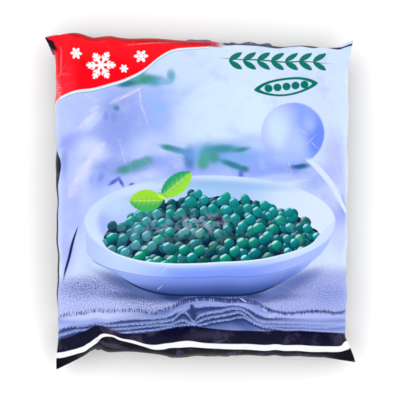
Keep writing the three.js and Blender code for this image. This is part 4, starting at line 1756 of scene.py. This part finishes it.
def bottom_seal_print(nodes, place):
    """Dark film, red in the middle and at one place to the left, with a lilac scrap."""
    cloudy = nodes.noise(place, 0.3, 3.0, 0.6)
    colour = nodes.ramp(cloudy, BLACK_FILM)
    red = nodes.ramp(cloudy, RED_FILM)
    for span in RED_SPANS:
        colour = nodes.mix(seal_stretch(nodes, place, span), colour, red)
    return nodes.mix(seal_stretch(nodes, place, LILAC_SCRAP), colour, (180, 176, 226))


def dark_seal(nodes, place):
    return nodes.ramp(nodes.noise(place, 0.08, 3.0, 0.6), DARK_FILM)


# Stage, lights and camera

FLOOR_HALF_SIZE = 3.0
FLOOR_TONES = [(0.3, (0.95, 0.95, 0.95, 1)), (0.7, (0.97, 0.97, 0.97, 1))]
LIGHTS = [
    ("left_light", (-1.9, 0.5, 1.3), 17),
    ("right_light", (1.9, 0.1, 1.3), 14),
    ("far_light", (0.1, 2.0, 1.3), 6),
    ("near_light", (-0.2, -2.0, 1.3), 9),
]
LIGHT_SIZE = 2.0
LIGHT_TARGET = Vector((0, 0, 0.02))
SURROUND_STRENGTH = 1.5
SURROUND_TONES = [(0.0, 0.7), (0.3, 0.95), (0.66, 0.95), (0.86, 0.12)]
SENSOR_WIDTH = 36


def floor():
    half = FLOOR_HALF_SIZE
    mesh = bpy.data.meshes.new("floor")
    corners = [(-half, -half, 0), (half, -half, 0), (half, half, 0), (-half, half, 0)]
    mesh.from_pydata(corners, [], [(0, 1, 2, 3)])
    material = bpy.data.materials.new("pale_floor")
    material.use_nodes = True
    nodes = Nodes(material.node_tree)
    shader = material.node_tree.nodes["Principled BSDF"]
    place = nodes.add("ShaderNodeTexCoord").outputs["Object"]
    nodes.put(shader.inputs["Base Color"], nodes.ramp(nodes.noise(place, 2.0), FLOOR_TONES))
    shader.inputs["Roughness"].default_value = 0.9
    shader.inputs["Specular IOR Level"].default_value = 0.1
    mesh.materials.append(material)
    ground = bpy.data.objects.new("floor", mesh)
    bpy.context.scene.collection.objects.link(ground)
    return ground


def area_light(name, place, power):
    light = bpy.data.lights.new(name, "AREA")
    light.shape = "SQUARE"
    light.size = LIGHT_SIZE
    light.energy = power
    lamp = bpy.data.objects.new(name, light)
    lamp.location = place
    lamp.rotation_mode = "QUATERNION"
    lamp.rotation_quaternion = (LIGHT_TARGET - Vector(place)).to_track_quat("-Z", "Y")
    bpy.context.scene.collection.objects.link(lamp)


def world():
    """A soft surround: a bright ring, and dim overhead where the flat of the film mirrors it."""
    surround = bpy.data.worlds.new("soft_surround")
    surround.use_nodes = True
    nodes = Nodes(surround.node_tree)
    background = surround.node_tree.nodes["Background"]
    direction = nodes.add("ShaderNodeTexCoord").outputs["Generated"]
    height = nodes.add("ShaderNodeSeparateXYZ", {0: direction}).outputs["Z"]
    tones = [(share, (tone, tone, tone, 1)) for share, tone in SURROUND_TONES]
    nodes.put(background.inputs["Color"], nodes.ramp(height, tones))
    background.inputs["Strength"].default_value = SURROUND_STRENGTH
    bpy.context.scene.world = surround


def camera():
    data = bpy.data.cameras.new("camera")
    data.sensor_width = SENSOR_WIDTH
    data.lens = SENSOR_WIDTH * CAMERA_DISTANCE / (2 * FRAME_MIDDLE * PIXEL)
    data.clip_start = 0.05
    data.clip_end = 20
    viewer = bpy.data.objects.new("camera", data)
    x = CAMERA_X * MM + SHIFT[0]
    y = CAMERA_Y * MM + SHIFT[1]
    viewer.location = (x, y, (CAMERA_DISTANCE + EDGE_HEIGHT) * MM + SHIFT[2])
    bpy.context.scene.collection.objects.link(viewer)
    bpy.context.scene.camera = viewer


def build():
    front = film_material("printed_front", front_print)
    back = film_material("dark_back", back_print)
    top = film_material("top_seal_film", top_seal_print)
    bottom = film_material("bottom_seal_film", bottom_seal_print)
    dark = film_material("dark_seal", dark_seal)
    pieces = [
        body_piece(front, back),
        seal_piece("top_seal", 1, top, dark),
        seal_piece("bottom_seal", -1, bottom, dark),
        seam_piece(back),
    ]
    for piece in pieces:
        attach(piece, "root")
        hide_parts("bag")
    floor()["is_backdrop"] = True
    for name, place, power in LIGHTS:
        area_light(name, place, power)
    world()
    camera()
    bpy.context.scene.view_settings.view_transform = "Standard"


def write_sizes():
    """Puts the CAD box and the finished bag's box side by side, as lists of corners."""
    boxes = {"cad": CAD_BOUNDS, "visual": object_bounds()}
    boxes = {name: [list(corner) for corner in box] for name, box in boxes.items()}


build()
write_sizes()
